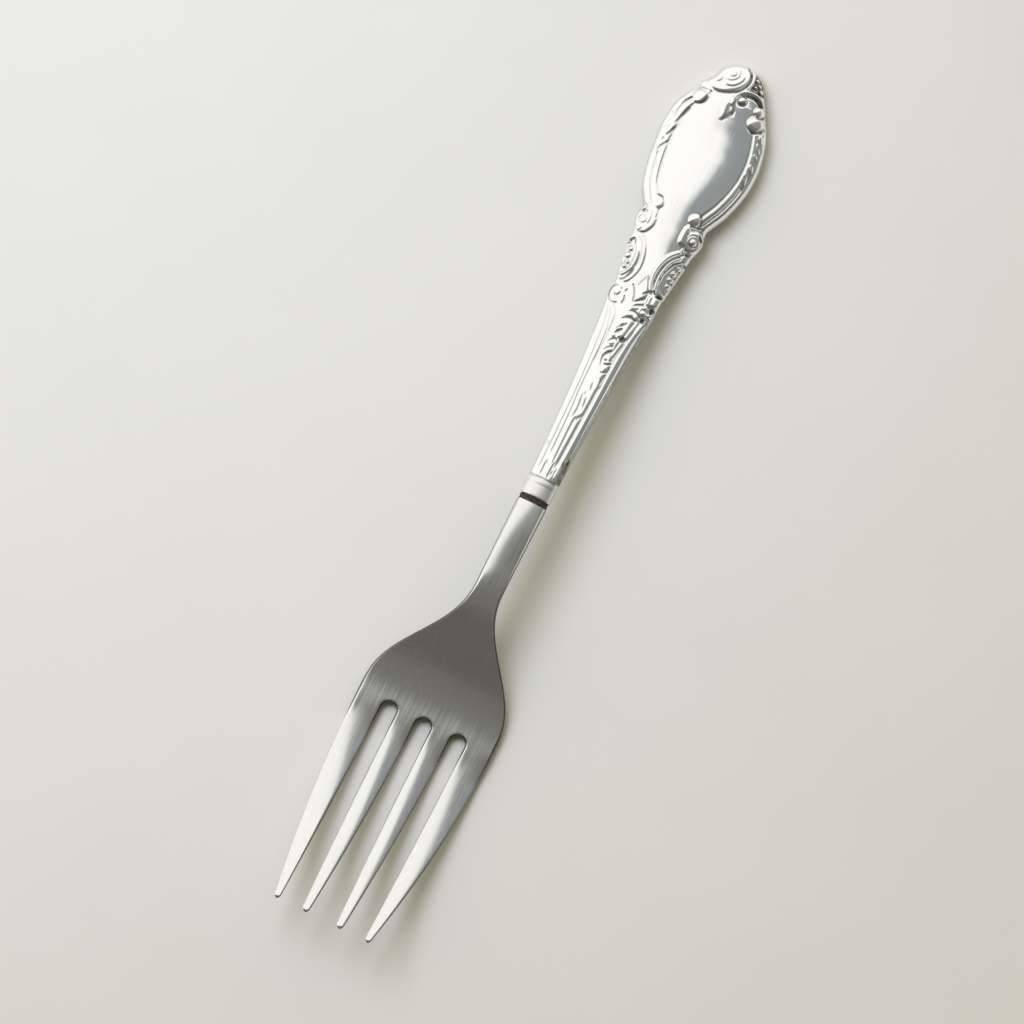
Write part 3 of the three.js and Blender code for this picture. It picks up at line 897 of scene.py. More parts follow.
    def build(self) -> bpy.types.Object:
        """Shapes the head from one sheet and adds the tang."""
        x = self.stations()
        y = self.plan(x)
        gap = self.edge_gap(x, y)
        piece = Workshop.sheet("head_steel", *y.shape)
        grid = Workshop.cells(piece)[Workshop.corners(piece, 4)]
        row, column = (grid // y.shape[1]).max(1), (grid % y.shape[1]).min(1)
        Workshop.drop_faces(piece, ((column + 1) % self.tine_columns == 0) & self.is_split(x[row]))
        raised = Workshop.raise_copy(piece)
        cells = Workshop.cells(piece)
        upper, lower = self.faces(x, y, gap)
        Workshop.settle(piece, np.where(raised[:, None], upper[cells], lower[cells]))
        # painted shade on the walls and edges, stored for the steel's colour
        rim, sides = self.painted_edge_shade(x, y, gap)
        Workshop.keep(piece, "wall", np.where(raised, rim[cells], sides[cells]))
        Workshop.close(piece, self.smooth_angle)
        self.add_tang(piece)
        return piece

    def add_tang(self, piece: bpy.types.Object) -> None:
        """Joins the tang, which tapers back into the handle along the middle line."""
        along = np.linspace(self.tang_start, self.tang_length, self.tang_rows)
        taper = 1 - self.tang_taper * smooth(ramp(along, self.tang_length / 2, self.tang_length))
        nick = 1 - self.nick_depth * (np.sin(along * 2 * math.pi / self.nick_pitch) > self.nick_share)
        wide, deep = self.tang_half
        rings = np.array([box_ring(x, (wide * width, deep), self.tang_bend, self.tang_points)
                          for x, width in zip(along, taper * nick)])
        first, last = (np.broadcast_to(ring.mean(0), ring.shape)[None] for ring in (rings[0], rings[-1]))
        loop = np.concatenate([first, rings, last], 0)
        tang = Workshop.drape("tang", np.concatenate([loop, loop[:, :1]], 1))
        Workshop.close(tang, self.tang_angle)
        piece.select_set(True)
        tang.select_set(True)
        bpy.context.view_layer.objects.active = piece
        bpy.ops.object.join()
        Workshop.clear()


@dataclass
class Ferrule(Piece):
    """The silver collar with its bead, and the spigot that goes into the handle."""

    node: ClassVar[str] = "ferrule"
    half: Pair = (3.2, 2.55)
    lip: Path = ((0.0, -0.12), (0.05, -0.03), (0.15, 0.0))
    plain: Pair = (0.6, 0.25)
    plain_rows: int = 5
    crease: Path = ((-0.1, -0.004), (0.0, -0.015))
    bead_height: float = 0.06
    bead_sink: float = 0.01
    bead_power: float = 0.7
    bead_span: Pair = (0.06, 0.94)
    bead_rows: int = 11
    shoulder: float = 0.03
    step: float = 0.1
    spigot_edge: Pair = (0.2, 0.1)
    wall: float = 0.4
    power: float = 2.2
    points: int = 96
    smooth_angle: float = 35.0
    # painted shade on the right flank near the seam height
    flank_shade: float = 0.35
    flank_shade_span: Pair = (0.6, 0.3)

    def ring(self, x: float, growth: float, power: float | None = None) -> np.ndarray:
        """One ring round the fork, grown from the collar's own section."""
        wide, deep = self.half
        return box_ring(x, (wide + growth, deep + growth), 2.0 / (power or self.power), self.points)

    def rings(self, section: Path) -> np.ndarray:
        """The rings through a section's points, each a place along the fork and a growth."""
        return np.array([self.ring(x, growth) for x, growth in section])

    def build(self) -> bpy.types.Object:
        """Turns the collar from its section."""
        top, inside = AT.ferrule_top, -self.wall - self.step
        start, stop = AT.band + self.plain[0], AT.bead - self.plain[1]
        section = [(AT.band + run, growth) for run, growth in self.lip]
        section += [(x, 0.0) for x in np.linspace(start, stop, self.plain_rows)]
        section += [(AT.bead + run, growth) for run, growth in self.crease]
        for t in np.linspace(*self.bead_span, self.bead_rows):
            swell = self.bead_height * math.sin(math.pi * t) ** self.bead_power
            section.append((AT.bead + (top - AT.bead) * t, swell - self.bead_sink))
        back, slope = self.spigot_edge
        section += [(top, -self.shoulder), (top, inside)]
        section += [(AT.spigot - back, inside), (AT.spigot, inside - slope)]
        section += [(x, inside - self.wall) for x in (AT.spigot, AT.band)]
        piece = Workshop.sleeve("ferrule_silver", self.rings(section), self.smooth_angle)
        # painted shade on the right flank near the seam height, stored with the tarnish
        place = Workshop.places(piece) / MM
        side = np.abs(place[:, 2] - MIDDLE.height(place[:, 0] - SHOULDER)) / self.half[1]
        full, fade = self.flank_shade_span
        Workshop.keep(piece, "tarnish_and_shade", self.flank_shade * smooth((full - side) / fade) * (place[:, 1] < 0))
        return piece


@dataclass
class FerruleSolder(Piece):
    """The ring of solder between ferrule and handle."""

    node: ClassVar[str] = "ferrule_solder"
    ferrule: Ferrule
    sink: float = 0.06
    depth: float = 0.4

    def build(self) -> bpy.types.Object:
        """Runs the ring round the mouth of the handle."""
        outer, inner = -self.sink, -self.sink - self.depth
        section = ((AT.ferrule_top, outer), (AT.mouth, outer), (AT.mouth, inner), (AT.ferrule_top, inner))
        return Workshop.sleeve("mouth_line", self.ferrule.rings(section), self.ferrule.smooth_angle)


@dataclass
class JointCement(Piece):
    """The pitch between shank and ferrule, which fills the ferrule round the tang."""

    node: ClassVar[str] = "joint_cement"
    ferrule: Ferrule
    recess: float = 0.25
    lump: float = 0.07
    waves: tuple[tuple[int, int, float], ...] = ((5, 9, 1.0), (11, -5, 0.6))
    radius: float = 3.0
    clearance: float = 0.02
    rows: int = 9
    bore: float = 1.0
    core: float = 1.42
    core_power: float = 5.0
    smooth_angle: float = 60.0

    def build(self) -> bpy.types.Object:
        """Casts the plug, a little uneven where it shows."""
        turn = np.linspace(0, 2 * math.pi, self.ferrule.points, endpoint=False)
        start = self.clearance
        rings = []
        for x in np.linspace(start, AT.band - self.clearance, self.rows):
            swell = sum(share * np.sin(count * turn + drift * x) for count, drift, share in self.waves)
            uneven = self.lump * swell[:, None] / self.radius
            ring = self.ferrule.ring(x, -self.recess)
            centre = ring.mean(0)
            rings.append(centre + (ring - centre) * (1 + uneven * np.array([0, 1, 1])))
        rings += [self.ferrule.ring(x, -self.bore) for x in (AT.band + self.clearance, AT.spigot)]
        rings += [self.ferrule.ring(x, -self.core, self.core_power) for x in (AT.spigot, start)]
        return Workshop.sleeve("joint_pitch", np.array(rings), self.smooth_angle)


@dataclass
class HandleOutline:
    """The handle's outline, from the mouth to the crest, on each side of its axis."""

    left: Path = ((5.5, 2.8), (12.0, 3.0), (20.0, 3.33), (28.0, 3.78), (34.0, 4.2), (39.6, 4.62),
                  (43.7, 5.0), (46.0, 5.25), (48.0, 5.0), (50.0, 5.35), (52.0, 5.75), (55.0, 6.15),
                  (57.0, 6.45), (59.0, 6.45), (60.3, 6.75), (61.5, 7.2), (62.6, 7.35), (63.8, 7.1),
                  (64.8, 6.9), (66.3, 7.8), (68.4, 9.0), (71.0, 9.8), (73.5, 10.3), (76.0, 10.65),
                  (79.2, 10.9), (81.3, 11.05), (83.3, 11.0), (85.4, 10.75), (87.4, 10.2), (89.4, 9.2),
                  (90.5, 8.4), (91.1, 7.65), (91.4, 7.2), (91.7, 7.5), (92.3, 7.65), (92.9, 7.45),
                  (93.5, 7.0), (94.4, 6.3), (95.2, 5.75), (95.9, 5.55), (96.8, 5.25), (97.6, 4.75),
                  (98.4, 3.95), (99.0, 3.1), (99.45, 2.1), (99.7, 1.1), (99.75, 0.3))
    right: Path = ((5.5, 3.45), (12.0, 3.58), (20.0, 3.82), (28.0, 4.17), (34.0, 4.45), (39.6, 4.75),
                   (43.7, 5.1), (47.8, 5.2), (51.9, 5.7), (56.0, 6.2), (59.1, 6.5), (60.3, 6.9),
                   (61.2, 7.15), (62.2, 7.3), (63.4, 7.15), (64.5, 6.9), (65.5, 6.95), (67.3, 7.8),
                   (69.4, 8.8), (72.4, 9.8), (75.0, 10.4), (77.5, 10.75), (80.6, 10.75), (83.0, 10.45),
                   (84.7, 10.1), (87.7, 9.2), (89.8, 8.1), (91.9, 6.95), (93.5, 6.1), (95.1, 5.15),
                   (96.6, 4.2), (97.6, 3.45), (98.6, 2.35), (99.15, 1.55), (99.55, 0.65), (99.75, -0.3))

    def width(self, x: np.ndarray, path: Path) -> np.ndarray:
        """Reach of one side from the axis."""
        line = trace(path, 8)
        return np.interp(x, line[:, 0], line[:, 1])

    def span(self, x: np.ndarray) -> tuple[np.ndarray, np.ndarray]:
        """Centre and half of the outline's width at each place."""
        left, right = self.width(x, self.left), self.width(x, self.right)
        return (left - right) / 2, (left + right) / 2


@dataclass
class Relief:
    """Ornament standing on a shell, as heights in mm over a grid of places."""

    x: np.ndarray
    y: np.ndarray
    height: np.ndarray = field(init=False)
    stain: np.ndarray = field(init=False)
    reach: ClassVar[float] = 1.6
    ridge_reach: ClassVar[float] = 0.6
    ridge_end: ClassVar[Pair] = (0.35, 0.3)
    ridge_clean: ClassVar[float] = 0.75
    groove_end: ClassVar[float] = 0.4
    groove_power: ClassVar[float] = 1.2
    crescent_end: ClassVar[float] = 0.25
    crescent_full: ClassVar[float] = 0.8
    crescent_start: ClassVar[float] = 0.25
    bead_reach: ClassVar[float] = 0.4
    bead_clean: ClassVar[float] = 0.8
    pit_stain: ClassVar[float] = 1.6
    moat_middle: ClassVar[float] = 0.12
    moat_half: ClassVar[float] = 0.16
    moat_stain: ClassVar[float] = 0.9

    def __post_init__(self) -> None:
        """Starts from a bare surface."""
        self.height = np.zeros_like(self.x)
        self.stain = np.zeros_like(self.x)

    def within(self, low: np.ndarray, high: np.ndarray) -> tuple[np.ndarray, ...]:
        """The grid's points inside a box."""
        return np.nonzero((self.x > low[0]) & (self.x < high[0]) & (self.y > low[1]) & (self.y < high[1]))

    def near(self, path: Path, reach: float) -> tuple[tuple, np.ndarray, np.ndarray]:
        """Finds the grid's points close to a line.

        Args:
            path: the line's points.
            reach: how far from the line's box the points may lie.

        Returns:
            The points' place in the grid, their distance and their share along the line.
        """
        line = trace(path)
        where = self.within(line.min(0) - reach, line.max(0) + reach)
        far, share = distance_to_line(np.column_stack([self.x[where], self.y[where]]), line)
        return where, far, share

    def around(self, centre: Point, reach: float, radius: float) -> tuple[tuple, np.ndarray]:
        """Finds the grid's points close to a spot.

        Args:
            centre: the spot.
            reach: half of the box in which points are found.
            radius: the unit for their distance.

        Returns:
            The points' place in the grid and their distance in radii.
        """
        spot = np.array(centre)
        where = self.within(spot - reach, spot + reach)
        return where, np.hypot(self.x[where] - spot[0], self.y[where] - spot[1]) / radius

    @staticmethod
    def run_out(share: np.ndarray, taper: float) -> np.ndarray:
        """How full a line is along its length, where each end runs out in a share of it."""
        return smooth(np.minimum(share, 1 - share) / taper) if taper else np.ones_like(share)

    def cut(self, where: tuple, form: np.ndarray, depth: float, stain: float) -> None:
        """Sinks a form, given from 0 to 1, to a depth and darkens it."""
        self.height[where] -= depth * form
        self.stain[where] = np.maximum(self.stain[where], stain * form)

    def raise_form(self, where: tuple, rise: np.ndarray, inside: np.ndarray, clean: np.ndarray,
                   moat: np.ndarray, depth: float) -> None:
        """Raises a form with a cut round it.

        Args:
            where: the points' place in the grid.
            rise: the form's height.
            inside: which points the form covers.
            clean: which points are rubbed bright.
            moat: the cut that sets the form off from what is round it, from 0 to 1.
            depth: the cut's depth.
        """
        self.cut(where, moat, depth, self.moat_stain * depth)
        self.height[where] = np.where(inside, np.maximum(self.height[where], rise), self.height[where])
        self.stain[where] = np.where(clean, 0.0, self.stain[where])

    def moat(self, gap: np.ndarray) -> np.ndarray:
        """The cut beside an edge, by the distance from that edge."""
        return np.exp(-((gap - self.moat_middle) / self.moat_half) ** 2)

    def ridge(self, path: Path, half: float, height: float, taper: float, moat: float = 0.0) -> None:
        """Raises a rounded band along a line.

        Args:
            path: the line's points.
            half: half of the band's width.
            height: the band's height.
            taper: the share of its length in which each end runs out.
            moat: depth of the cut that sets the band off from what is round it.
        """
        where, far, share = self.near(path, half + self.ridge_reach)
        end = self.run_out(share, taper)
        thin, low = self.ridge_end
        wide = half * grow(thin, end)
        rise = height * np.sqrt(np.clip(1 - (far / wide) ** 2, 0, 1)) * grow(low, end)
        clean = far < self.ridge_clean * wide
        self.raise_form(where, rise, far < wide, clean, self.moat(far - wide) * end, moat)

    def groove(self, path: Path, half: float, depth: float, taper: float, stain: float) -> None:
        """Cuts a rounded line.

        Args:
            path: the line's points.
            half: half of the cut's width.
            depth: the cut's depth.
            taper: the share of its length in which each end runs out.
            stain: how dark the cut has become, from 0 to 1.
        """
        where, far, share = self.near(path, half * self.reach)
        end = self.run_out(share, taper)
        wide = half * grow(self.groove_end, end)
        self.cut(where, np.clip(1 - (far / wide) ** 2, 0, 1) ** self.groove_power * end, depth, stain)

    def crescent(self, path: Path, half: float, depth: float, stain: float) -> None:
        """Cuts a line that starts thin and ends broad.

        Args:
            path: the line's points, from its thin end.
            half: half of the cut's width at its broad end.
            depth: the cut's depth.
            stain: how dark the cut has become, from 0 to 1.
        """
        where, far, share = self.near(path, half * self.reach)
        wide = half * grow(self.crescent_end, smooth(share / self.crescent_full))
        start = smooth(share / self.crescent_start)
        self.cut(where, np.clip(1 - (far / wide) ** 2, 0, 1) * start, depth, stain)

    def bead(self, centre: Point, radius: float, height: float, moat: float) -> None:
        """Sets a round bead, with a cut of the given depth round it."""
        where, far = self.around(centre, radius * self.reach + self.bead_reach, radius)
        rise = height * np.sqrt(np.clip(1 - far ** 2, 0, 1))
        self.raise_form(where, rise, far < 1, far < self.bead_clean, self.moat((far - 1) * radius), moat)

    def pit(self, centre: Point, radius: float, depth: float, stain: float = 1.0) -> None:
        """Sinks a dark hollow."""
        where, far = self.around(centre, radius, radius)
        bowl = np.clip(1 - far ** 2, 0, 1)
        self.height[where] -= depth * bowl
        self.stain[where] = np.maximum(self.stain[where], stain * smooth(self.pit_stain * bowl))

    def field(self, outline: Path, height: float, edge: float, stain: float = 0.0) -> None:
        """Raises or sinks the area inside an outline, with a rounded border.

        Args:
            outline: the area's corners.
            height: how far the area stands up, or lies deep where it is negative.
            edge: width of the rounded border.
            stain: how dark the area has become, from 0 to 1.
        """
        line = trace(outline + outline[:1])
        where = self.within(line.min(0), line.max(0))
        px, py = self.x[where], self.y[where]
        inside = np.zeros(len(px), bool)
        for (ax, ay), (bx, by) in zip(line[:-1], line[1:]):
            crossing = (ay > py) != (by > py)
            inside ^= crossing & (px < ax + (bx - ax) * (py - ay) / (by - ay if by != ay else HAIR))
        far = distance_to_line(np.column_stack([px, py]), line)[0]
        rise = np.where(inside, np.sqrt(np.clip(1 - (1 - np.clip(far / edge, 0, 1)) ** 2, 0, 1)), 0.0)
        if height > 0:
            self.height[where] = np.maximum(self.height[where], height * rise)
        else:
            self.height[where] += height * rise
        self.stain[where] = np.maximum(self.stain[where], stain * rise)


@dataclass
class Ornament:
    """The rococo ornament: fluted stem, acanthus, scrolls, rosettes, moulded rim and crest."""

    outline: HandleOutline
    slant: float = 0.76
    slant_span: Pair = (8.0, 47.0)
    step_starts: tuple[float, ...] = (5.8, 10.4, 12.0)
    step_heights: tuple[float, ...] = (0.2, 0.22, 0.16)
    step_lead: float = 1.0
    step_round: float = 0.34
    step_end: Pair = (41.0, 44.0)
    dip: Pair = (0.6, 0.3)
    dip_start: Pair = (8.4, 9.4)
    dip_depth: float = 0.16
    dip_stain: float = 0.3
    cut_width: float = 0.75
    cut_stain: float = 0.9
    pit_width: float = 0.8
    mouldings: tuple[tuple[float, float, float], ...] = ((0.78, 0.62, 0.3), (2.15, 0.62, 0.36))
    quirks: tuple[tuple[float, float, float, float], ...] = ((1.46, 0.2, 0.14, 0.5),
                                                             (2.95, 0.22, 0.14, 0.4))
    quirk_stain: float = 0.18
    rim_edge: Pair = (58.0, 97.0)
    rim_field: Pair = (62.0, 93.0)
    rim_aside: float = 2.0
    rim_start: Pair = (64.6, 66.4)
    rim_stop: Pair = (88.0, 90.5)
    rim_wear: Pair = (0.45, 1.0)

    def shift(self, x: np.ndarray) -> np.ndarray:
        """How far the drawing slips to the right where the stem rises."""
        return self.slant * (1 - ramp(x, *self.slant_span) ** 2)

    def draw(self, relief: Relief) -> None:
        """Draws the whole ornament on a shell."""
        for part in (
                self.flutes, self.rim, self.rim_leaves, self.acanthus, self.volutes, self.scrolls,
                self.rosettes, self.crest):
            part(relief)

    def flutes(self, relief: Relief) -> None:
        """Runs the stem's flutes: fine lines on the left, steps falling away on the right."""
        for line in (
                ((6.0, 2.4), (19.3, 2.62), (25.4, 2.75), (35.6, 3.21), (40.7, 3.76), (43.3, 4.45)),
                ((10.0, 1.6), (19.3, 1.8), (25.4, 2.13), (35.6, 2.22), (39.6, 2.68), (43.1, 3.76)),
                ((31.0, 2.0), (35.6, 2.0), (39.6, 1.99), (42.1, 2.28), (43.5, 3.27))):
            relief.groove(line, half=0.18, depth=0.11, taper=0.03, stain=0.22)
        relief.groove(((12.0, 2.3), (12.2, 2.95), (12.8, 3.25)), half=0.17, depth=0.16, taper=0.1,
                      stain=0.5)
        relief.groove(((5.7, 1.6), (8.5, 1.58), (8.6, 1.2)), half=0.16, depth=0.14, taper=0.05, stain=0.5)
        relief.crescent(((8.7, 0.35), (10.2, 0.45), (17.9, 0.52), (18.9, 0.12), (19.9, -0.6)), half=0.24,
                        depth=0.2, stain=0.6)
        relief.groove(((5.7, 0.12), (8.9, 0.05)), half=0.2, depth=0.12, taper=0.05, stain=0.55)
        steps = (((5.0, -1.06), (15.2, -1.34), (23.4, -1.62), (31.5, -1.85), (35.6, -2.19), (39.6, -2.84),
                  (44.0, -4.0)),
                 ((5.0, -2.1), (11.2, -2.25), (19.3, -2.45), (25.4, -2.7), (31.5, -3.0), (37.6, -3.4),
                  (44.0, -4.55)),
                 ((5.0, -2.6), (15.2, -2.9), (25.4, -3.25), (35.6, -3.75), (44.0, -4.7)),
                 ((5.0, -3.0), (15.2, -3.25), (25.4, -3.65), (35.6, -4.3), (44.0, -5.2)))
        lines = [np.interp(relief.x, *trace(path, 8).T) for path in steps]
        run_out = 1 - smooth(ramp(relief.x, *self.step_end))
        lead = self.step_round
        for near, far, start, high in zip(lines, lines[1:], self.step_starts, self.step_heights):
            share = (near - relief.y) / (near - far) - lead / 2
            rise = smooth((share + lead) / lead) * np.clip(1 - share, 0, 1)
            amount = high * smooth(ramp(relief.x, start, start + self.step_lead)) * run_out
            relief.height += np.where((share > -lead) & (share < 1), rise, 0) * amount
        start = smooth(ramp(relief.x, *self.dip_start))
        aside, half = self.dip
        dip = np.exp(-((relief.y - lines[0] - aside) / half) ** 2) * run_out * start
        relief.height -= self.dip_depth * dip
        relief.stain = np.maximum(relief.stain, self.dip_stain * dip)
        relief.field(((5.5, -1.45), (9.2, -1.5), (9.9, -2.75), (5.5, -2.75)), height=-0.1, edge=0.2,
                     stain=0.35)
        relief.groove(((5.6, -1.45), (9.2, -1.5)), half=0.14, depth=0.12, taper=0.05, stain=0.6)
        relief.crescent(((9.6, -1.2), (9.9, -1.8), (10.4, -2.2)), half=0.42, depth=0.3, stain=0.95)
        for smear in (((6.4, -0.05), (7.2, -0.55)), ((7.9, -0.1), (8.7, -0.6))):
            relief.groove(smear, half=0.26, depth=0.1, taper=0.3, stain=0.5)

    def acanthus(self, relief: Relief) -> None:
        """Lays the long leaf on the stem: lobes that hang from its spine, parted by dark cuts."""
        relief.field(((26.5, -0.75), (28.6, -0.1), (30.1, 0.3), (31.5, 0.9), (33.1, 1.35), (34.8, 1.75),
                      (36.6, 1.95), (38.6, 1.85), (40.7, 1.75), (42.7, 1.4), (44.5, 0.6), (45.8, -0.2),
                      (46.2, -1.6), (45.2, -2.5), (43.3, -2.4), (41.5, -1.8), (39.4, -1.5), (37.2, -1.0),
                      (35.0, -0.8), (33.5, -0.8), (31.9, -1.3), (30.1, -1.25), (28.5, -1.0)), height=0.24,
                     edge=0.7)
        lobes = (((28.6, -0.1), (29.1, -0.8)), ((30.4, 0.1), (30.9, -0.95)),
                 ((32.0, 0.55), (32.7, 0.2), (33.2, -0.3)), ((33.6, 1.15), (34.7, 0.3), (35.2, -0.6)),
                 ((35.2, 1.5), (36.2, 0.5), (36.4, -0.8)), ((37.1, 1.5), (37.8, 0.8), (38.2, 0.1)),
                 ((38.7, 1.4), (39.5, 0.7), (39.9, -0.2)), ((39.8, 1.3), (41.0, 0.0), (41.4, -1.5)),
                 ((42.0, 1.15), (43.0, -0.3), (43.0, -2.0)), ((43.7, 0.75), (44.7, -0.6), (44.8, -2.6)))
        for lobe in lobes:
            relief.ridge(lobe, half=0.75, height=0.36, taper=0.45)
        for cut, half, stain in (
                (((29.7, 0.15), (29.7, -0.5), (30.1, -1.15)), 0.22, 0.65),
                (((31.5, 0.2), (31.6, -0.5), (32.0, -1.2)), 0.32, 0.9),
                (((30.0, 0.05), (31.3, 0.65), (32.8, 0.85), (33.8, 0.4), (34.4, -0.3)), 0.34, 0.85),
                (((33.9, 1.4), (34.9, 0.75), (35.5, -0.2)), 0.17, 0.4),
                (((35.7, 1.45), (36.7, 0.8), (37.2, 0.1), (37.0, -0.35)), 0.28, 0.75),
                (((38.0, 0.9), (38.7, 0.4), (39.5, -0.3)), 0.36, 0.9),
                (((38.9, 1.0), (39.8, 0.4), (40.2, -0.2)), 0.15, 0.35),
                (((41.2, 0.95), (42.0, 0.15), (42.4, -0.9), (42.2, -1.85)), 0.34, 0.95),
                (((43.2, 0.35), (43.8, -0.6), (43.7, -1.7), (43.2, -2.5)), 0.24, 0.6),
                (((44.5, 0.05), (45.3, -0.9), (45.9, -2.05)), 0.32, 0.9)):
            relief.crescent(cut, half=self.cut_width * half, depth=0.24, stain=self.cut_stain * stain)
        relief.pit((32.6, -0.95), radius=0.35, depth=0.15, stain=0.4)
        relief.bead((38.2, -0.35), radius=0.6, height=0.4, moat=0.05)
        relief.bead((44.5, -4.2), radius=0.5, height=0.5, moat=0.05)
        relief.ridge(((32.6, -0.62), (34.6, -0.95), (36.6, -1.36), (39.6, -1.95), (42.1, -2.64)),
                     half=0.26, height=0.26, taper=0.2)
        for spot, size in (((37.6, -1.3), 0.72), ((42.9, -3.2), 0.62), ((45.55, -4.05), 0.7)):
            relief.pit(spot, radius=size, depth=0.4)
        for streak in (
                ((21.3, -0.1), (22.8, 0.05), (23.9, 0.25)), ((24.2, 0.9), (24.9, 0.5)),
                ((25.2, 0.0), (27.2, 0.35)), ((18.4, 1.2), (20.5, 0.85), (22.5, 0.95), (25.4, 1.3))):
            relief.groove(streak, half=0.17, depth=0.14, taper=0.3, stain=0.45)

        relief.field(((45.6, -0.1), (47.2, 0.55), (48.6, 1.0), (50.0, 0.75), (51.4, 0.2), (52.3, -0.25),
                      (51.0, -1.1), (49.2, -1.75), (47.6, -1.75), (46.4, -1.0)), height=0.38, edge=0.5)
        relief.groove(((45.4, -0.05), (47.0, 0.4), (48.4, 1.1), (49.0, 1.7)), half=0.2, depth=0.2,
                      taper=0.1, stain=0.7)
        for vein in (
                ((46.0, -0.4), (46.7, -1.2), (47.3, -1.8)), ((47.6, -1.0), (48.1, -1.3), (48.6, -1.75)),
                ((48.6, 0.55), (50.0, 0.35), (51.4, -0.1))):
            relief.crescent(vein, half=0.24, depth=0.22, stain=0.85)
        relief.groove(((52.2, -0.3), (50.4, -1.25), (48.8, -2.1)), half=0.32, depth=0.2, taper=0.2,
                      stain=0.6)

    def volutes(self, relief: Relief) -> None:
        """Curls the left volute and sets the right block."""
        for line in (
                ((44.4, 2.6), (43.9, 3.4), (44.05, 4.4), (44.9, 5.0), (46.2, 5.15), (47.4, 4.6),
                 (47.6, 3.5)),
                ((45.6, 4.3), (45.65, 3.5), (46.6, 3.05)), ((47.0, 3.1), (47.4, 3.4)),
                ((46.9, 2.4), (47.6, 2.0)), ((44.2, 2.1), (45.2, 1.85), (46.2, 2.1))):
            relief.groove(line, half=0.18, depth=0.2, taper=0.12, stain=0.7)
        relief.field(((46.1, -2.4), (48.4, -2.5), (48.6, -4.7), (47.6, -5.2), (46.2, -5.0)), height=0.35,
                     edge=0.45)
        relief.ridge(((46.4, -4.4), (48.4, -4.5)), half=1.3, height=0.75, taper=0.1)
        for lobe in (
                ((43.9, -2.3), (44.4, -2.8), (44.3, -3.5)), ((45.1, -2.2), (45.5, -2.7), (45.5, -3.3))):
            relief.ridge(lobe, half=0.5, height=0.4, taper=0.3)
        relief.groove(((48.85, -3.4), (48.9, -5.0)), half=0.36, depth=0.45, taper=0.15, stain=1.0)

    def scrolls(self, relief: Relief) -> None:
        """Draws the C-scrolls with their pearls."""
        relief.ridge(((48.7, 4.32), (49.8, 2.87), (52.3, 2.12), (55.0, 2.32), (57.2, 3.22), (58.4, 4.52)),
                     half=0.55, height=0.16, taper=0.1)
        relief.groove(((48.4, 3.22), (49.9, 2.32), (52.3, 1.65), (55.0, 1.92), (57.0, 2.62), (58.4, 3.57),
                       (59.0, 4.52)), half=0.14, depth=0.1, taper=0.05, stain=0.38)
        relief.groove(((48.6, 4.92), (49.2, 3.82), (50.7, 3.07), (52.4, 2.7)), half=0.22, depth=0.24,
                      taper=0.2, stain=0.75)
        relief.groove(((51.6, 2.77), (54.4, 2.72), (57.0, 3.42), (58.0, 4.12), (58.4, 5.12)), half=0.15,
                      depth=0.12, taper=0.1, stain=0.38)
        relief.ridge(((49.6, 5.12), (50.6, 4.22), (52.2, 3.52), (54.6, 3.52), (56.6, 4.32)), half=0.4,
                     height=0.25, taper=0.15)
        relief.groove(((50.3, 5.12), (50.7, 4.32), (52.3, 3.88), (55.0, 3.98), (56.8, 4.62)), half=0.14,
                      depth=0.12, taper=0.1, stain=0.35)
        relief.crescent(((55.6, 4.52), (57.4, 5.12), (57.6, 5.62), (56.9, 6.12)), half=0.3, depth=0.3,
                        stain=0.85)
        for spot, size in (
                ((51.7, 4.87), 0.42), ((52.7, 4.62), 0.36), ((54.05, 5.27), 0.6), ((55.4, 5.27), 0.45),
                ((56.7, 6.32), 0.4)):
            relief.bead(spot, radius=size, height=0.26, moat=0.16)

        relief.field(((49.2, -5.02), (50.4, -3.52), (52.9, -3.12), (55.4, -3.72), (57.6, -5.82),
                      (57.6, -6.42), (53.0, -6.42), (50.2, -5.82)), height=-0.2, edge=0.4, stain=0.12)
        relief.ridge(((48.6, -2.57), (50.3, -1.62), (52.3, -1.2), (54.6, -1.38), (57.0, -2.27),
                      (58.4, -3.42), (59.2, -4.32)), half=0.42, height=0.42, taper=0.08)
        relief.groove(((48.4, -2.77), (50.3, -1.97), (52.3, -1.77), (55.0, -2.07), (57.0, -3.07),
                       (58.4, -4.27), (58.8, -5.02)), half=0.2, depth=0.28, taper=0.06, stain=0.7)
        relief.ridge(((49.0, -3.07), (50.7, -2.57), (52.9, -2.42), (55.4, -2.87), (57.0, -3.77),
                      (58.2, -5.02)), half=0.36, height=0.42, taper=0.1)
        relief.crescent(((50.2, -3.2), (52.9, -2.95), (54.8, -3.35), (56.2, -4.0), (57.4, -5.1)),
                        half=0.27, depth=0.3, stain=0.9)
        for spot, size in (
                ((51.7, -4.82), 0.56), ((53.1, -4.62), 0.58), ((54.5, -4.72), 0.5),
                ((56.0, -5.22), 0.36)):
            relief.bead(spot, radius=size, height=0.34, moat=0.05)
        for spot, size in (
                ((50.8, -4.82), 0.32), ((52.4, -5.12), 0.34), ((53.8, -5.22), 0.34), ((55.3, -5.42), 0.36),
                ((57.0, -5.82), 0.6)):
            relief.pit(spot, radius=self.pit_width * size, depth=0.26, stain=0.8)

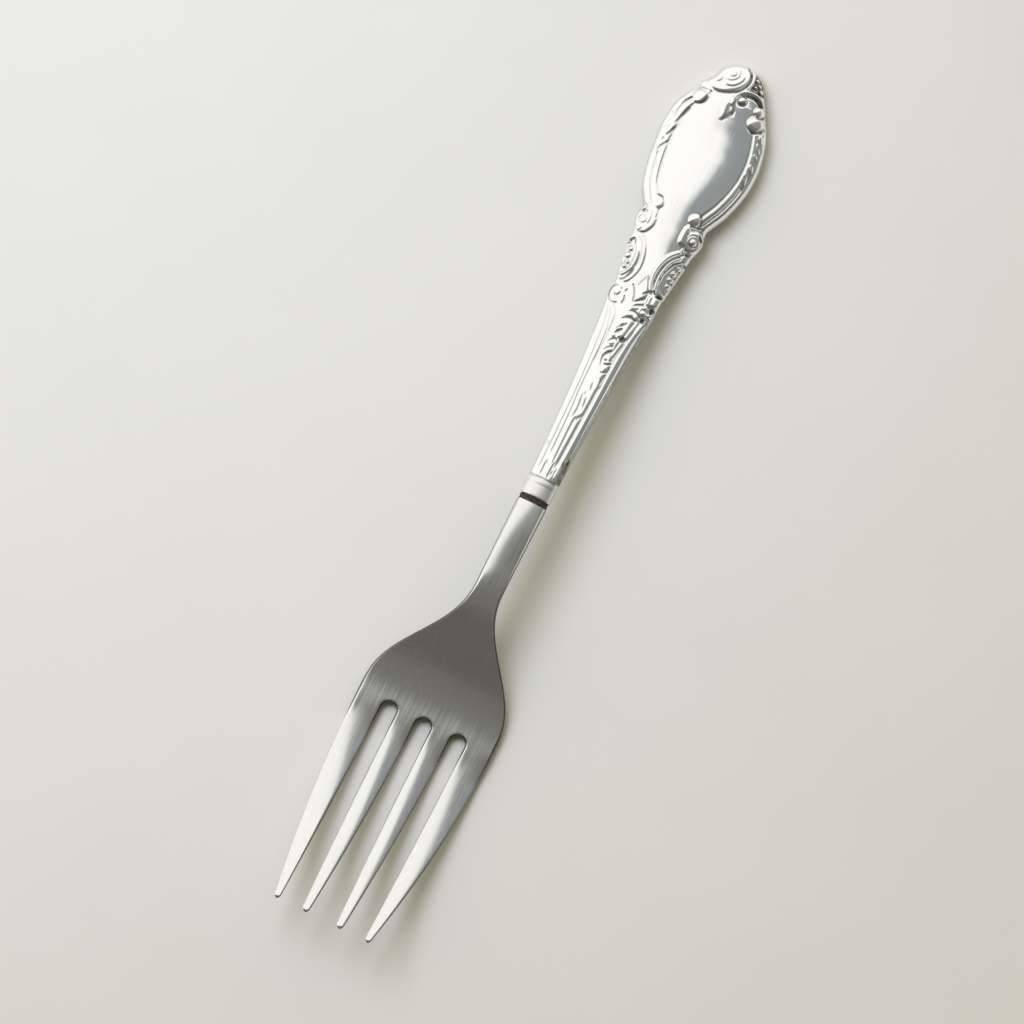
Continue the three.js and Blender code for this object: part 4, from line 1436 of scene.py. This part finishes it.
    def rosettes(self, relief: Relief) -> None:
        """Sets the two rosettes with their beads."""
        relief.field(((59.25, 5.48), (59.65, 4.26), (61.05, 3.35), (62.65, 3.14), (64.45, 3.45),
                      (65.25, 4.67), (64.85, 6.29), (63.05, 7.3), (60.85, 7.1)), height=0.16, edge=1.2)
        relief.crescent(((63.0, 3.35), (61.75, 3.1), (60.5, 3.5), (59.45, 4.4), (59.3, 5.6)), half=0.18,
                        depth=0.2, stain=0.6)
        relief.groove(((62.9, 3.4), (64.0, 3.55), (65.0, 3.8)), half=0.14, depth=0.14, taper=0.2,
                      stain=0.4)
        relief.groove(circle((61.9, 5.75), 0.8), half=0.15, depth=0.14, taper=0.0, stain=0.3)
        for petal in (
                ((59.55, 6.49), (59.55, 5.48), (60.35, 5.07)),
                ((60.95, 4.72), (62.15, 4.31), (63.85, 4.62), (64.45, 5.27))):
            relief.groove(petal, half=0.15, depth=0.14, taper=0.2, stain=0.35)
        relief.groove(((63.45, 6.7), (63.65, 5.88), (64.25, 5.58)), half=0.2, depth=0.25, taper=0.2,
                      stain=0.65)
        relief.bead((64.25, 6.7), radius=0.6, height=0.45, moat=0.15)
        relief.bead((66.15, 4.65), radius=1.3, height=0.16, moat=0.0)
        relief.crescent(((64.9, 3.75), (65.6, 3.35), (66.3, 3.25), (67.4, 4.05), (67.65, 5.0)), half=0.17,
                        depth=0.2, stain=0.55)

        relief.bead((62.1, -5.4), radius=2.2, height=0.4, moat=0.15)
        relief.ridge(((60.4, -3.5), (61.4, -3.1), (63.2, -3.1), (64.9, -3.3)), half=0.66, height=0.5,
                     taper=0.2, moat=0.05)
        relief.groove(((62.7, -3.4), (62.8, -4.0)), half=0.16, depth=0.2, taper=0.2, stain=0.6)
        relief.groove(circle((62.0, -5.4), 1.35), half=0.18, depth=0.1, taper=0.0, stain=0.3)
        relief.bead((61.9, -5.4), radius=0.7, height=0.6, moat=0.1)
        relief.crescent(((62.2, -4.6), (61.3, -4.8), (61.0, -5.6), (61.5, -6.2)), half=0.24, depth=0.3,
                        stain=0.85)
        relief.crescent(((63.9, -5.7), (63.4, -6.1), (62.9, -6.6)), half=0.42, depth=0.4, stain=1.0)
        relief.groove(((59.1, -4.8), (59.05, -6.0)), half=0.24, depth=0.4, taper=0.1, stain=1.0)
        relief.bead((59.6, -4.2), radius=0.34, height=0.45, moat=0.1)
        relief.bead((66.1, -3.75), radius=1.3, height=0.6, moat=0.06)
        relief.crescent(((64.9, -4.3), (65.4, -4.85), (66.3, -5.0), (67.2, -4.5)), half=0.34, depth=0.2,
                        stain=0.8)
        relief.crescent(((64.8, -3.3), (64.8, -4.4), (65.0, -5.4)), half=0.2, depth=0.2, stain=0.7)

    def rim(self, relief: Relief) -> None:
        """Runs the two mouldings and the inner line round the oval plate."""
        sides = (1, -1), (self.outline.left, self.outline.right), self.rim_wear
        for side, path, worn in zip(*sides):
            edge = trace(path, 5)
            start, stop = self.rim_edge
            edge = edge[(edge[:, 0] > start) & (edge[:, 0] < stop)] * np.array([1, side])
            start, stop = self.rim_field
            where = np.nonzero((relief.x > start) & (relief.x < stop) & (relief.y * side > self.rim_aside))
            x = relief.x[where]
            far = distance_to_line(np.column_stack([x, relief.y[where]]), edge)[0]
            share = smooth(ramp(x, *self.rim_start)) * (1 - smooth(ramp(x, *self.rim_stop)))
            band, dark = np.zeros_like(x), np.zeros_like(x)
            for middle, half, high in self.mouldings:
                bulge = np.sqrt(np.clip(1 - ((far - middle) / half) ** 2, 0, 1))
                band = np.maximum(band, worn * high * bulge)
            for middle, half, deep, stain in self.quirks:
                band -= worn * deep * np.exp(-((far - middle) / half) ** 2)
                dark += stain * np.exp(-((far - middle) / self.quirk_stain) ** 2)
            relief.height[where] += band * share
            relief.stain[where] = np.maximum(relief.stain[where], worn * dark * share)

    def rim_leaves(self, relief: Relief) -> None:
        """Wraps leaves over the rim on both sides, each ending in its bud or beads."""
        for lobe in (
                ((74.35, 9.84), (76.55, 9.64), (78.75, 8.83)),
                ((77.75, 10.35), (79.75, 9.64), (81.55, 8.83)),
                ((80.35, 10.45), (82.75, 9.64), (84.35, 8.62))):
            relief.ridge(lobe, half=0.75, height=0.2, taper=0.4)
        for cut, half in (
                (((74.75, 9.6), (76.6, 9.35), (77.6, 8.8), (78.3, 8.2)), 0.2),
                (((79.3, 9.4), (80.1, 8.75), (81.4, 8.3)), 0.3),
                (((81.6, 9.0), (83.3, 8.35), (84.9, 7.85), (86.4, 7.3)), 0.3),
                (((86.1, 9.35), (87.5, 8.8), (88.8, 7.95)), 0.16)):
            relief.crescent(cut, half=half, depth=0.22, stain=0.9)
        for line in (
                ((80.35, 10.45), (81.55, 10.04)), ((82.05, 10.25), (83.15, 9.64)),
                ((83.95, 10.25), (84.85, 9.64)), ((76.15, 8.27), (80.75, 8.1), (84.85, 7.1))):
            relief.groove(line, half=0.15, depth=0.12, taper=0.3, stain=0.3)
        relief.bead((89.5, 6.5), radius=1.5, height=0.42, moat=0.08)
        relief.crescent(((87.7, 7.1), (88.3, 5.95), (89.1, 5.35), (90.0, 5.15)), half=0.5, depth=0.22,
                        stain=0.9)
        relief.crescent(((89.9, 5.5), (90.7, 5.25), (91.3, 5.0)), half=0.26, depth=0.16, stain=0.7)
        for lobe in (
                ((75.8, -9.4), (78.4, -8.7), (80.2, -8.5)), ((78.4, -9.6), (80.6, -9.0), (82.4, -8.4)),
                ((80.8, -9.5), (82.8, -8.8), (84.6, -8.0)), ((83.2, -9.3), (85.0, -8.5), (86.6, -7.6)),
                ((85.4, -8.9), (87.0, -8.1), (88.2, -7.3))):
            relief.ridge(lobe, half=0.6, height=0.52, taper=0.4)
        for cut in (
                ((80.1, -8.2), (80.0, -8.9), (79.6, -9.5)), ((82.6, -8.2), (82.9, -8.8), (82.2, -9.2)),
                ((86.3, -8.2), (85.3, -8.5), (84.7, -9.3)), ((86.5, -7.4), (87.4, -7.6), (88.4, -7.6)),
                ((75.4, -8.4), (77.0, -8.6), (78.7, -8.6))):
            relief.crescent(cut, half=0.22, depth=0.16, stain=0.5)
        relief.bead((89.25, -5.9), radius=1.7, height=0.75, moat=0.12)
        relief.crescent(((87.9, -4.9), (87.5, -6.0), (87.9, -7.0), (88.9, -7.8)), half=0.5, depth=0.25,
                        stain=0.85)
        relief.bead((91.8, -5.5), radius=1.1, height=0.6, moat=0.12)
        relief.crescent(((90.6, -4.9), (90.5, -6.0), (91.2, -6.7)), half=0.42, depth=0.25, stain=0.85)

    def crest(self, relief: Relief) -> None:
        """Coils the crest's shell, with its band, hanging leaf and pearled corner."""
        relief.field(((86.8, 0.6), (88.5, 1.42), (90.3, 2.03), (91.9, 1.72), (92.3, 0.6), (90.7, 0.2),
                      (88.7, -0.21)), height=0.2, edge=0.6)
        relief.crescent(((90.9, 0.75), (89.3, 0.4), (88.0, 0.35), (86.9, 0.65)), half=0.34, depth=0.1,
                        stain=0.7)
        relief.ridge(((88.6, -0.5), (90.1, -0.35), (91.5, 0.35)), half=0.42, height=0.2, taper=0.3)
        relief.crescent(((91.3, 0.0), (90.1, -0.6), (88.7, -0.85)), half=0.26, depth=0.16, stain=0.85)

        relief.field(((92.9, 6.59), (92.2, 4.56), (92.4, 2.74), (93.4, 1.01), (95.0, -0.41), (96.9, -0.92),
                      (98.7, -0.51), (99.5, 0.6), (98.9, 2.94), (97.5, 4.56), (95.5, 5.37), (93.9, 6.29)),
                     height=0.24, edge=1.6)
        relief.ridge(((92.6, 0.7), (93.5, -0.4), (95.2, -1.4), (96.8, -1.7), (98.3, -1.2), (99.1, -0.45)),
                     half=0.36, height=0.42, taper=0.15)
        relief.crescent(((92.5, 6.19), (91.9, 4.46), (92.0, 3.24), (92.7, 1.62), (93.7, 0.3),
                         (95.0, -0.66), (96.6, -1.08), (98.0, -0.78), (99.1, 0.2)), half=0.32, depth=0.28,
                        stain=0.95)
        for arc, half, stain in (
                (((93.8, 5.27), (94.1, 4.46), (94.9, 4.2), (95.3, 4.66)), 0.17, 0.6),
                (((94.0, 3.6), (93.9, 2.4), (94.4, 1.25), (95.3, 0.45), (96.3, 0.05), (97.3, 0.15)), 0.18,
                 0.65),
                (((95.5, 4.1), (95.0, 3.1), (95.3, 2.0), (96.5, 1.15), (97.9, 1.5), (98.3, 2.6)), 0.14,
                 0.35),
                (((95.95, 3.1), (96.1, 2.25), (96.8, 1.9), (97.4, 2.4)), 0.16, 0.5)):
            relief.groove(arc, half=half, depth=0.2, taper=0.2, stain=stain)
        relief.bead((96.7, 2.9), radius=0.6, height=0.3, moat=0.0)

        relief.ridge(((90.1, -0.21), (91.5, 0.18), (92.7, 0.0), (94.0, -0.97), (94.6, -2.54),
                      (94.5, -4.17), (93.5, -5.79), (91.7, -6.91)), half=0.36, height=0.5, taper=0.1)
        relief.crescent(((92.1, -0.41), (93.0, -1.12), (93.7, -2.34), (93.8, -3.76), (93.1, -5.28)),
                        half=0.42, depth=0.36, stain=1.0)
        relief.bead((92.2, -1.48), radius=0.95, height=0.65, moat=0.06)
        relief.crescent(((91.7, -0.82), (91.5, -1.63), (92.0, -2.14)), half=0.4, depth=0.1, stain=0.8)
        relief.field(((94.8, -1.83), (96.7, -2.03), (98.7, -1.63), (97.9, -3.15), (96.5, -4.57),
                      (95.0, -4.98), (95.0, -3.35)), height=-0.3, edge=0.3, stain=0.95)
        for spot, size in (
                ((95.9, -4.06), 0.48), ((96.8, -3.35), 0.4), ((97.6, -2.44), 0.4), ((96.1, -2.64), 0.36)):
            relief.bead(spot, radius=size, height=0.12, moat=0.1)


@dataclass(frozen=True)
class Strike:
    """How one half of the handle was struck: its profile over the seam, its mesh and its ornament."""

    profile: Path
    row_share: float
    columns: int
    relief: float


@dataclass
class HandleShell(Piece):
    """One struck half of the hollow handle, with its ornament."""

    strikes: ClassVar[dict[Side, Strike]] = {
        Side.FRONT: Strike(
            profile=((5.5, 2.55), (20.0, 2.55), (35.0, 2.55), (46.0, 2.55), (54.0, 2.7), (62.0, 3.3),
                     (66.0, 3.58), (70.0, 3.77), (74.0, 3.825), (78.0, 3.755), (81.5, 3.61), (84.5, 3.49),
                     (87.0, 3.44), (90.0, 3.41), (100.0, 3.4)),
            row_share=1.0, columns=133, relief=1.0),
        Side.BACK: Strike(
            profile=((5.5, 2.55), (20.0, 2.55), (35.0, 2.5), (46.0, 2.4), (54.0, 2.3), (62.0, 2.15),
                     (70.0, 1.95), (78.0, 1.8), (90.0, 1.8), (100.0, 1.8)),
            row_share=0.72, columns=97, relief=0.6)}
    rows: ClassVar[tuple[tuple[float, float, int], ...]] = (
        (AT.mouth, 28.0, 64), (28.0, 68.0, 310), (68.0, 86.0, 80), (86.0, AT.turn, 92))
    side: Side
    outline: HandleOutline
    ornament: Ornament
    wall: float = 0.6
    seam: float = 0.2
    power: Pair = (2.8, 2.5)
    power_span: Pair = (45.0, 75.0)
    end_power: float = 0.4
    least_rise: float = 0.02
    trim: float = 0.07
    trim_start: float = 0.4
    turn_rows: int = 34
    edge_crowding: float = 0.5
    last_column: float = 0.998
    softening: int = 1
    hollow_reach: int = 7
    hollow_depth: float = 0.3
    hollow_stain: float = 0.2
    stain: float = 0.9
    # painted shade along the edges, wider and darker on the right flank and the stem
    seam_shade: float = 0.4
    stem_flank_shade: float = 0.25
    stem_span: Pair = (40.0, 48.0)
    left_edge: Pair = (0.16, 0.15)
    right_edge: Pair = (0.3, 0.2)
    stem_edge: float = 0.42
    seam_fade: float = 0.04
    mouth_fade: float = 0.8
    inner_floor: float = 0.4
    inner_share: float = 0.1
    smooth_angle: float = 60.0

    @property
    def strike(self) -> Strike:
        """How this half was struck."""
        return self.strikes[self.side]

    @property
    def node(self) -> str:
        """The CAD node that this half replaces."""
        return f"handle_{self.side.name.lower()}_shell"

    def stations(self) -> np.ndarray:
        """Places along the shell, closer together where the ornament is fine."""
        share = self.strike.row_share
        runs = [np.linspace(a, b, int(n * share), endpoint=False) for a, b, n in self.rows]
        return np.concatenate(runs + [round_end(int(self.turn_rows * share))])

    def columns(self) -> np.ndarray:
        """Shares of the half width, from right to left, closer together at the edges."""
        even = np.linspace(-1, 1, self.strike.columns)
        across = self.edge_crowding * np.sin(even * math.pi / 2) + (1 - self.edge_crowding) * even
        across[-2] = self.last_column
        return across

    def rise(self, x: np.ndarray, inset: float) -> np.ndarray:
        """Height of the shell's middle over its seam, less an inset."""
        line = trace(self.strike.profile, 8)
        high = np.interp(x, line[:, 0], line[:, 1])
        up = ramp(x, AT.crest, AT.end)
        return np.maximum(high * (1 - up ** 2) ** self.end_power - inset, self.least_rise)

    def surface(self, x: np.ndarray, across: np.ndarray, inset: float) -> tuple[np.ndarray, np.ndarray]:
        """The smooth shell without ornament.

        Args:
            x: places along the shell.
            across: share of the half width, from right to left.
            inset: how far inside the outer surface the wanted one lies.

        Returns:
            The places across the handle and the heights over the seam.
        """
        centre, half = self.outline.span(x)
        half = np.maximum(half - inset, 0.0)
        y = centre[:, None] + half[:, None] * across
        first, last = self.power
        power = first + (last - first) * smooth(ramp(x, *self.power_span))[:, None]
        share = np.abs(across) - self.trim * smooth(ramp(across, self.trim_start, 1.0))
        body = np.clip(1 - share ** power, 0, 1) ** (1 / power)
        body[:, -1] = 0.0
        return y, self.rise(x, inset)[:, None] * body

    def tarnish_and_shade(self, x: np.ndarray, across: np.ndarray, height: np.ndarray, stain: np.ndarray) -> np.ndarray:
        """How dark the silver is: tarnish in the ornament's hollows and cuts, and painted shade along the
        edges.

        Args:
            x: places along the shell.
            across: share of the half width, from right to left.
            height: the ornament's height.
            stain: how dark the ornament's cuts are.

        Returns:
            The tarnish and painted shade of each point, from 0 to 1.
        """
        hollow = np.clip((blur(height, self.hollow_reach) - height) / self.hollow_depth, 0, 1)
        inside = self.outline.span(x)[1][:, None] * (1 - np.abs(across))
        stem = 1 - smooth(ramp(x, *self.stem_span))[:, None]
        # The edge bands worked out below are painted shade, not wear: a thin line on the left, a wider band
        # on the right flank, widest on the stem.
        reach, fade = self.left_edge
        left = self.seam_shade * smooth((reach - inside) / fade)
        reach, fade = self.right_edge
        dark = self.seam_shade + self.stem_flank_shade * stem
        right = dark * smooth((reach + self.stem_edge * stem - inside) / fade)
        worn = np.where(across > 0, left, right)
        return np.clip(blur(stain, self.softening) * self.stain + self.hollow_stain * hollow + worn, 0, 1)

    def build(self) -> bpy.types.Object:
        """Strikes the shell: a sheet is extruded into a wall and both sides are shaped."""
        x, across = self.stations(), self.columns()
        y, high = self.surface(x, across, 0.0)
        inner_y, inner_high = self.surface(x, across, self.wall)
        along = np.broadcast_to(x[:, None], y.shape)
        relief = Relief(np.ascontiguousarray(along), y + self.ornament.shift(x)[:, None])
        self.ornament.draw(relief)
        height = blur(relief.height, self.softening)
        tarnish_and_shade = self.tarnish_and_shade(x, across, height, relief.stain)
        mouth = smooth(ramp(x, AT.mouth, AT.mouth + self.mouth_fade))[:, None]
        fade = smooth((1 - np.abs(across)) / self.seam_fade)[None] * mouth
        middle = MIDDLE.height(x)[:, None]
        way = self.side.value
        outer = middle + way * (self.seam + high + height * fade * self.strike.relief)
        inner = middle + way * (self.seam + inner_high)
        if self.side is Side.BACK:
            outer = np.maximum(outer, 0.0)
            inner = np.maximum(inner, self.inner_floor)
        upper = np.stack([along, y, outer], 2).reshape(-1, 3)
        lower = np.stack([np.minimum(along, AT.end - self.wall), inner_y, inner], 2).reshape(-1, 3)

        piece = Workshop.sheet(f"handle_{self.side.name.lower()}_silver", *y.shape)
        raised = Workshop.raise_copy(piece)
        cells = Workshop.cells(piece)
        Workshop.settle(piece, np.where(raised[:, None], upper[cells], lower[cells]))
        # tarnish in the hollows together with painted shade along the edges
        Workshop.keep(piece, "tarnish_and_shade", np.where(raised, tarnish_and_shade.ravel()[cells], 0.0))
        border = np.ones(y.shape, bool)
        border[1:-1, 1:-1] = False
        Workshop.thin(piece, ~raised & ~border.ravel()[cells], self.inner_share)
        Workshop.close(piece, self.smooth_angle)
        return piece


@dataclass
class SeamSolder(Piece):
    """The line of solder that runs round the handle between its two shells."""

    node: ClassVar[str] = "seam_solder"
    outline: HandleOutline
    half_height: float = 0.21
    recess: float = 0.07
    depth: float = 0.5
    rows: int = 260
    turn_rows: int = 24
    smooth_angle: float = 40.0

    def build(self) -> bpy.types.Object:
        """Runs the solder round the outline."""
        sides = np.linspace(AT.mouth, AT.turn, self.rows, endpoint=False)
        x = np.concatenate([sides, round_end(self.turn_rows)])
        left, right = (self.outline.width(x, path) for path in (self.outline.left, self.outline.right))
        edge = np.column_stack([np.concatenate([x, x[-2::-1]]), np.concatenate([left, -right[-2::-1]])])
        run = np.gradient(edge, axis=0)
        inward = np.column_stack([run[:, 1], -run[:, 0]]) / np.hypot(*run.T)[:, None]
        level = MIDDLE.height(edge[:, 0])
        outer, inner = self.recess, self.recess + self.depth
        rings = []
        for inset, lift in ((outer, 1), (outer, -1), (inner, -1), (inner, 1)):
            flat = edge + inward * inset
            rings.append(np.column_stack([flat, level + lift * self.half_height]))
        piece = Workshop.drape("seam_line", np.array(rings + rings[:1]).transpose(1, 0, 2))
        with Workshop.editing():
            bpy.ops.mesh.select_all(action="SELECT")
            bpy.ops.mesh.remove_doubles(threshold=Workshop.merge_gap)
            bpy.ops.mesh.fill_holes(sides=8)
        Workshop.close(piece, self.smooth_angle)
        return piece


@dataclass
class Studio:
    """Table, soft light and camera, as in the photograph."""

    table_radius: float = 2.5
    table_points: int = 96
    elevation: float = 82.0
    heading: float = 63.64
    distance: float = 1000.0
    aim: tuple[float, float, float] = (-5.99, 3.29, 0.0)
    field_of_view: float = 11.58
    sensor: float = 36.0
    clip: Pair = (0.01, 20.0)
    key_power: float = 1.67
    key_size: float = 0.30
    key_colour: tuple[float, float, float] = (0.76, 0.815, 1.0)
    key_distance: float = 0.5
    key_elevation: float = 60.0
    key_heading: Pair = (0.42, 0.91)
    window: Colour = (1.06, 1.05, 1.03, 1.0)
    window_heading: tuple[float, float, float] = (0.77, 0.64, 0.0)
    window_edge: Pair = (0.198, 0.218)
    room: tuple[tuple[float, Colour], ...] = (
        (-1.0, (0.122, 0.119, 0.107, 1.0)), (-0.82, (0.122, 0.12, 0.108, 1.0)),
        (-0.66, (0.165, 0.162, 0.148, 1.0)), (-0.4, (0.172, 0.17, 0.156, 1.0)),
        (0.085, (0.19, 0.189, 0.178, 1.0)), (0.135, (0.335, 0.342, 0.348, 1.0)),
        (0.175, (0.34, 0.345, 0.348, 1.0)), (0.215, (0.275, 0.296, 0.308, 1.0)),
        (0.35, (0.277, 0.298, 0.306, 1.0)), (1.0, (0.40, 0.40, 0.37, 1.0)))
    fill: Colour = (1.0, 0.945, 0.73, 1.0)
    gloom: Colour = (0.82, 0.81, 0.77, 1.0)
    gloom_heading: tuple[float, float, float] = (0.0, -1.0, 0.0)
    gloom_edge: Pair = (0.5, 0.85)

    def table(self, finish: Finish) -> None:
        """Lays the table, with its edge far outside the view."""
        Workshop.clear()
        bpy.ops.mesh.primitive_circle_add(vertices=self.table_points, radius=self.table_radius,
                                          fill_type="NGON", location=(0, 0, 0))
        table = bpy.context.active_object
        table.name = table.data.name = "table"
        finish.put_on(table)

    def lamp(self) -> None:
        """Hangs the key lamp, which no mirror shows."""
        key = bpy.data.lights.new("key", "AREA")
        key.shape, key.size, key.energy = "DISK", self.key_size, self.key_power
        key.color = self.key_colour
        lamp = bpy.data.objects.new("key", key)
        bpy.context.scene.collection.objects.link(lamp)
        up = math.radians(self.key_elevation)
        away = Vector((*[c * math.cos(up) for c in self.key_heading], math.sin(up))).normalized()
        lamp.location = away * self.key_distance
        lamp.rotation_euler = away.to_track_quat("Z", "Y").to_euler()
        lamp.visible_glossy = False
        lamp.visible_camera = False

    def surroundings(self) -> None:
        """Paints the room: a bright window side, and a grey side that is dimmer for matt things."""
        world = bpy.data.worlds.new("studio")
        bpy.context.scene.world = world
        world.use_nodes = True
        nodes = Nodes(world.node_tree)
        way = nodes.add("ShaderNodeTexCoord").outputs["Generated"]
        along = nodes.add("ShaderNodeSeparateXYZ", {"Vector": way}).outputs["X"]
        shades = nodes.add("ShaderNodeValToRGB", {"Fac": nodes.span(along, 0.0, 1.0, -1.0, 1.0)})
        stops = shades.color_ramp.elements
        while len(stops) < len(self.room):
            stops.new(0.5)
        for stop, (place, colour) in zip(stops, self.room):
            stop.position, stop.color = (place + 1) / 2, colour
        window = nodes.span(nodes.lean(way, self.window_heading), 0.0, 1.0, *self.window_edge)
        seen = nodes.tint(window, shades.outputs["Color"], self.window)
        dim = nodes.span(nodes.lean(way, self.gloom_heading), 0.0, 1.0, *self.gloom_edge)
        mirrored = nodes.tint(dim, seen, self.gloom, "MULTIPLY")
        lit = nodes.tint(1.0, seen, self.fill, "MULTIPLY")
        matt = nodes.add("ShaderNodeLightPath").outputs["Is Diffuse Ray"]
        sky = nodes.add("ShaderNodeBackground", {"Color": nodes.tint(matt, mirrored, lit), "Strength": 1.0})
        nodes.add("ShaderNodeOutputWorld", {"Surface": sky.outputs[0]})

    def camera(self) -> None:
        """Stands the camera where the photograph was taken."""
        lens = bpy.data.cameras.new("camera")
        lens.sensor_width = self.sensor
        lens.lens = self.sensor / 2 / math.tan(math.radians(self.field_of_view / 2))
        lens.clip_start, lens.clip_end = self.clip
        stand = bpy.data.objects.new("camera", lens)
        bpy.context.scene.collection.objects.link(stand)
        turn, tilt = math.radians(self.heading), math.radians(self.elevation)
        ahead = Vector((math.sin(turn) * math.cos(tilt), math.cos(turn) * math.cos(tilt), -math.sin(tilt)))
        stand.location = (Vector(self.aim) - ahead * self.distance) * MM
        stand.rotation_euler = ahead.to_track_quat("-Z", "Y").to_euler()
        bpy.context.scene.camera = stand

    def build(self, finish: Finish) -> None:
        """Sets up table, light and camera."""
        bpy.context.scene.view_settings.view_transform = "Standard"
        self.table(finish)
        self.lamp()
        self.surroundings()
        self.camera()


def dress_hidden(names: dict[str, Finish]) -> None:
    """Gives the CAD nodes that stay their own finish."""
    for name, finish in names.items():
        finish.put_on(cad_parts[name])


def main() -> None:
    """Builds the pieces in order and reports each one."""
    logging.basicConfig(level=logging.INFO, format="%(name)s: %(message)s")
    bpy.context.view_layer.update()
    steel, silver, solder, pitch = SatinSteel(), PolishedSilver(), SolderMetal(), PitchCement()
    rubbed = PolishedSilver(name="rubbed_silver", polish=(0.34, 0.46))
    outline = HandleOutline()
    ornament = Ornament(outline)
    ferrule = Ferrule()
    work = (
        (ForkHead(), steel),
        (ferrule, rubbed),
        (FerruleSolder(ferrule), solder),
        (JointCement(ferrule), pitch),
        (HandleShell(Side.FRONT, outline, ornament), silver),
        (HandleShell(Side.BACK, outline, ornament), silver),
        (SeamSolder(outline), solder))
    for maker, finish in work:
        piece = maker.build()
        maker.dress(piece, finish)
        LOG.info("%s: %d triangles in %s", piece.name, len(piece.data.polygons), finish.name)
    dress_hidden({"filler_cement": CastFiller()})
    Studio().build(PaleTable())


if __name__ == "__main__":
    main()
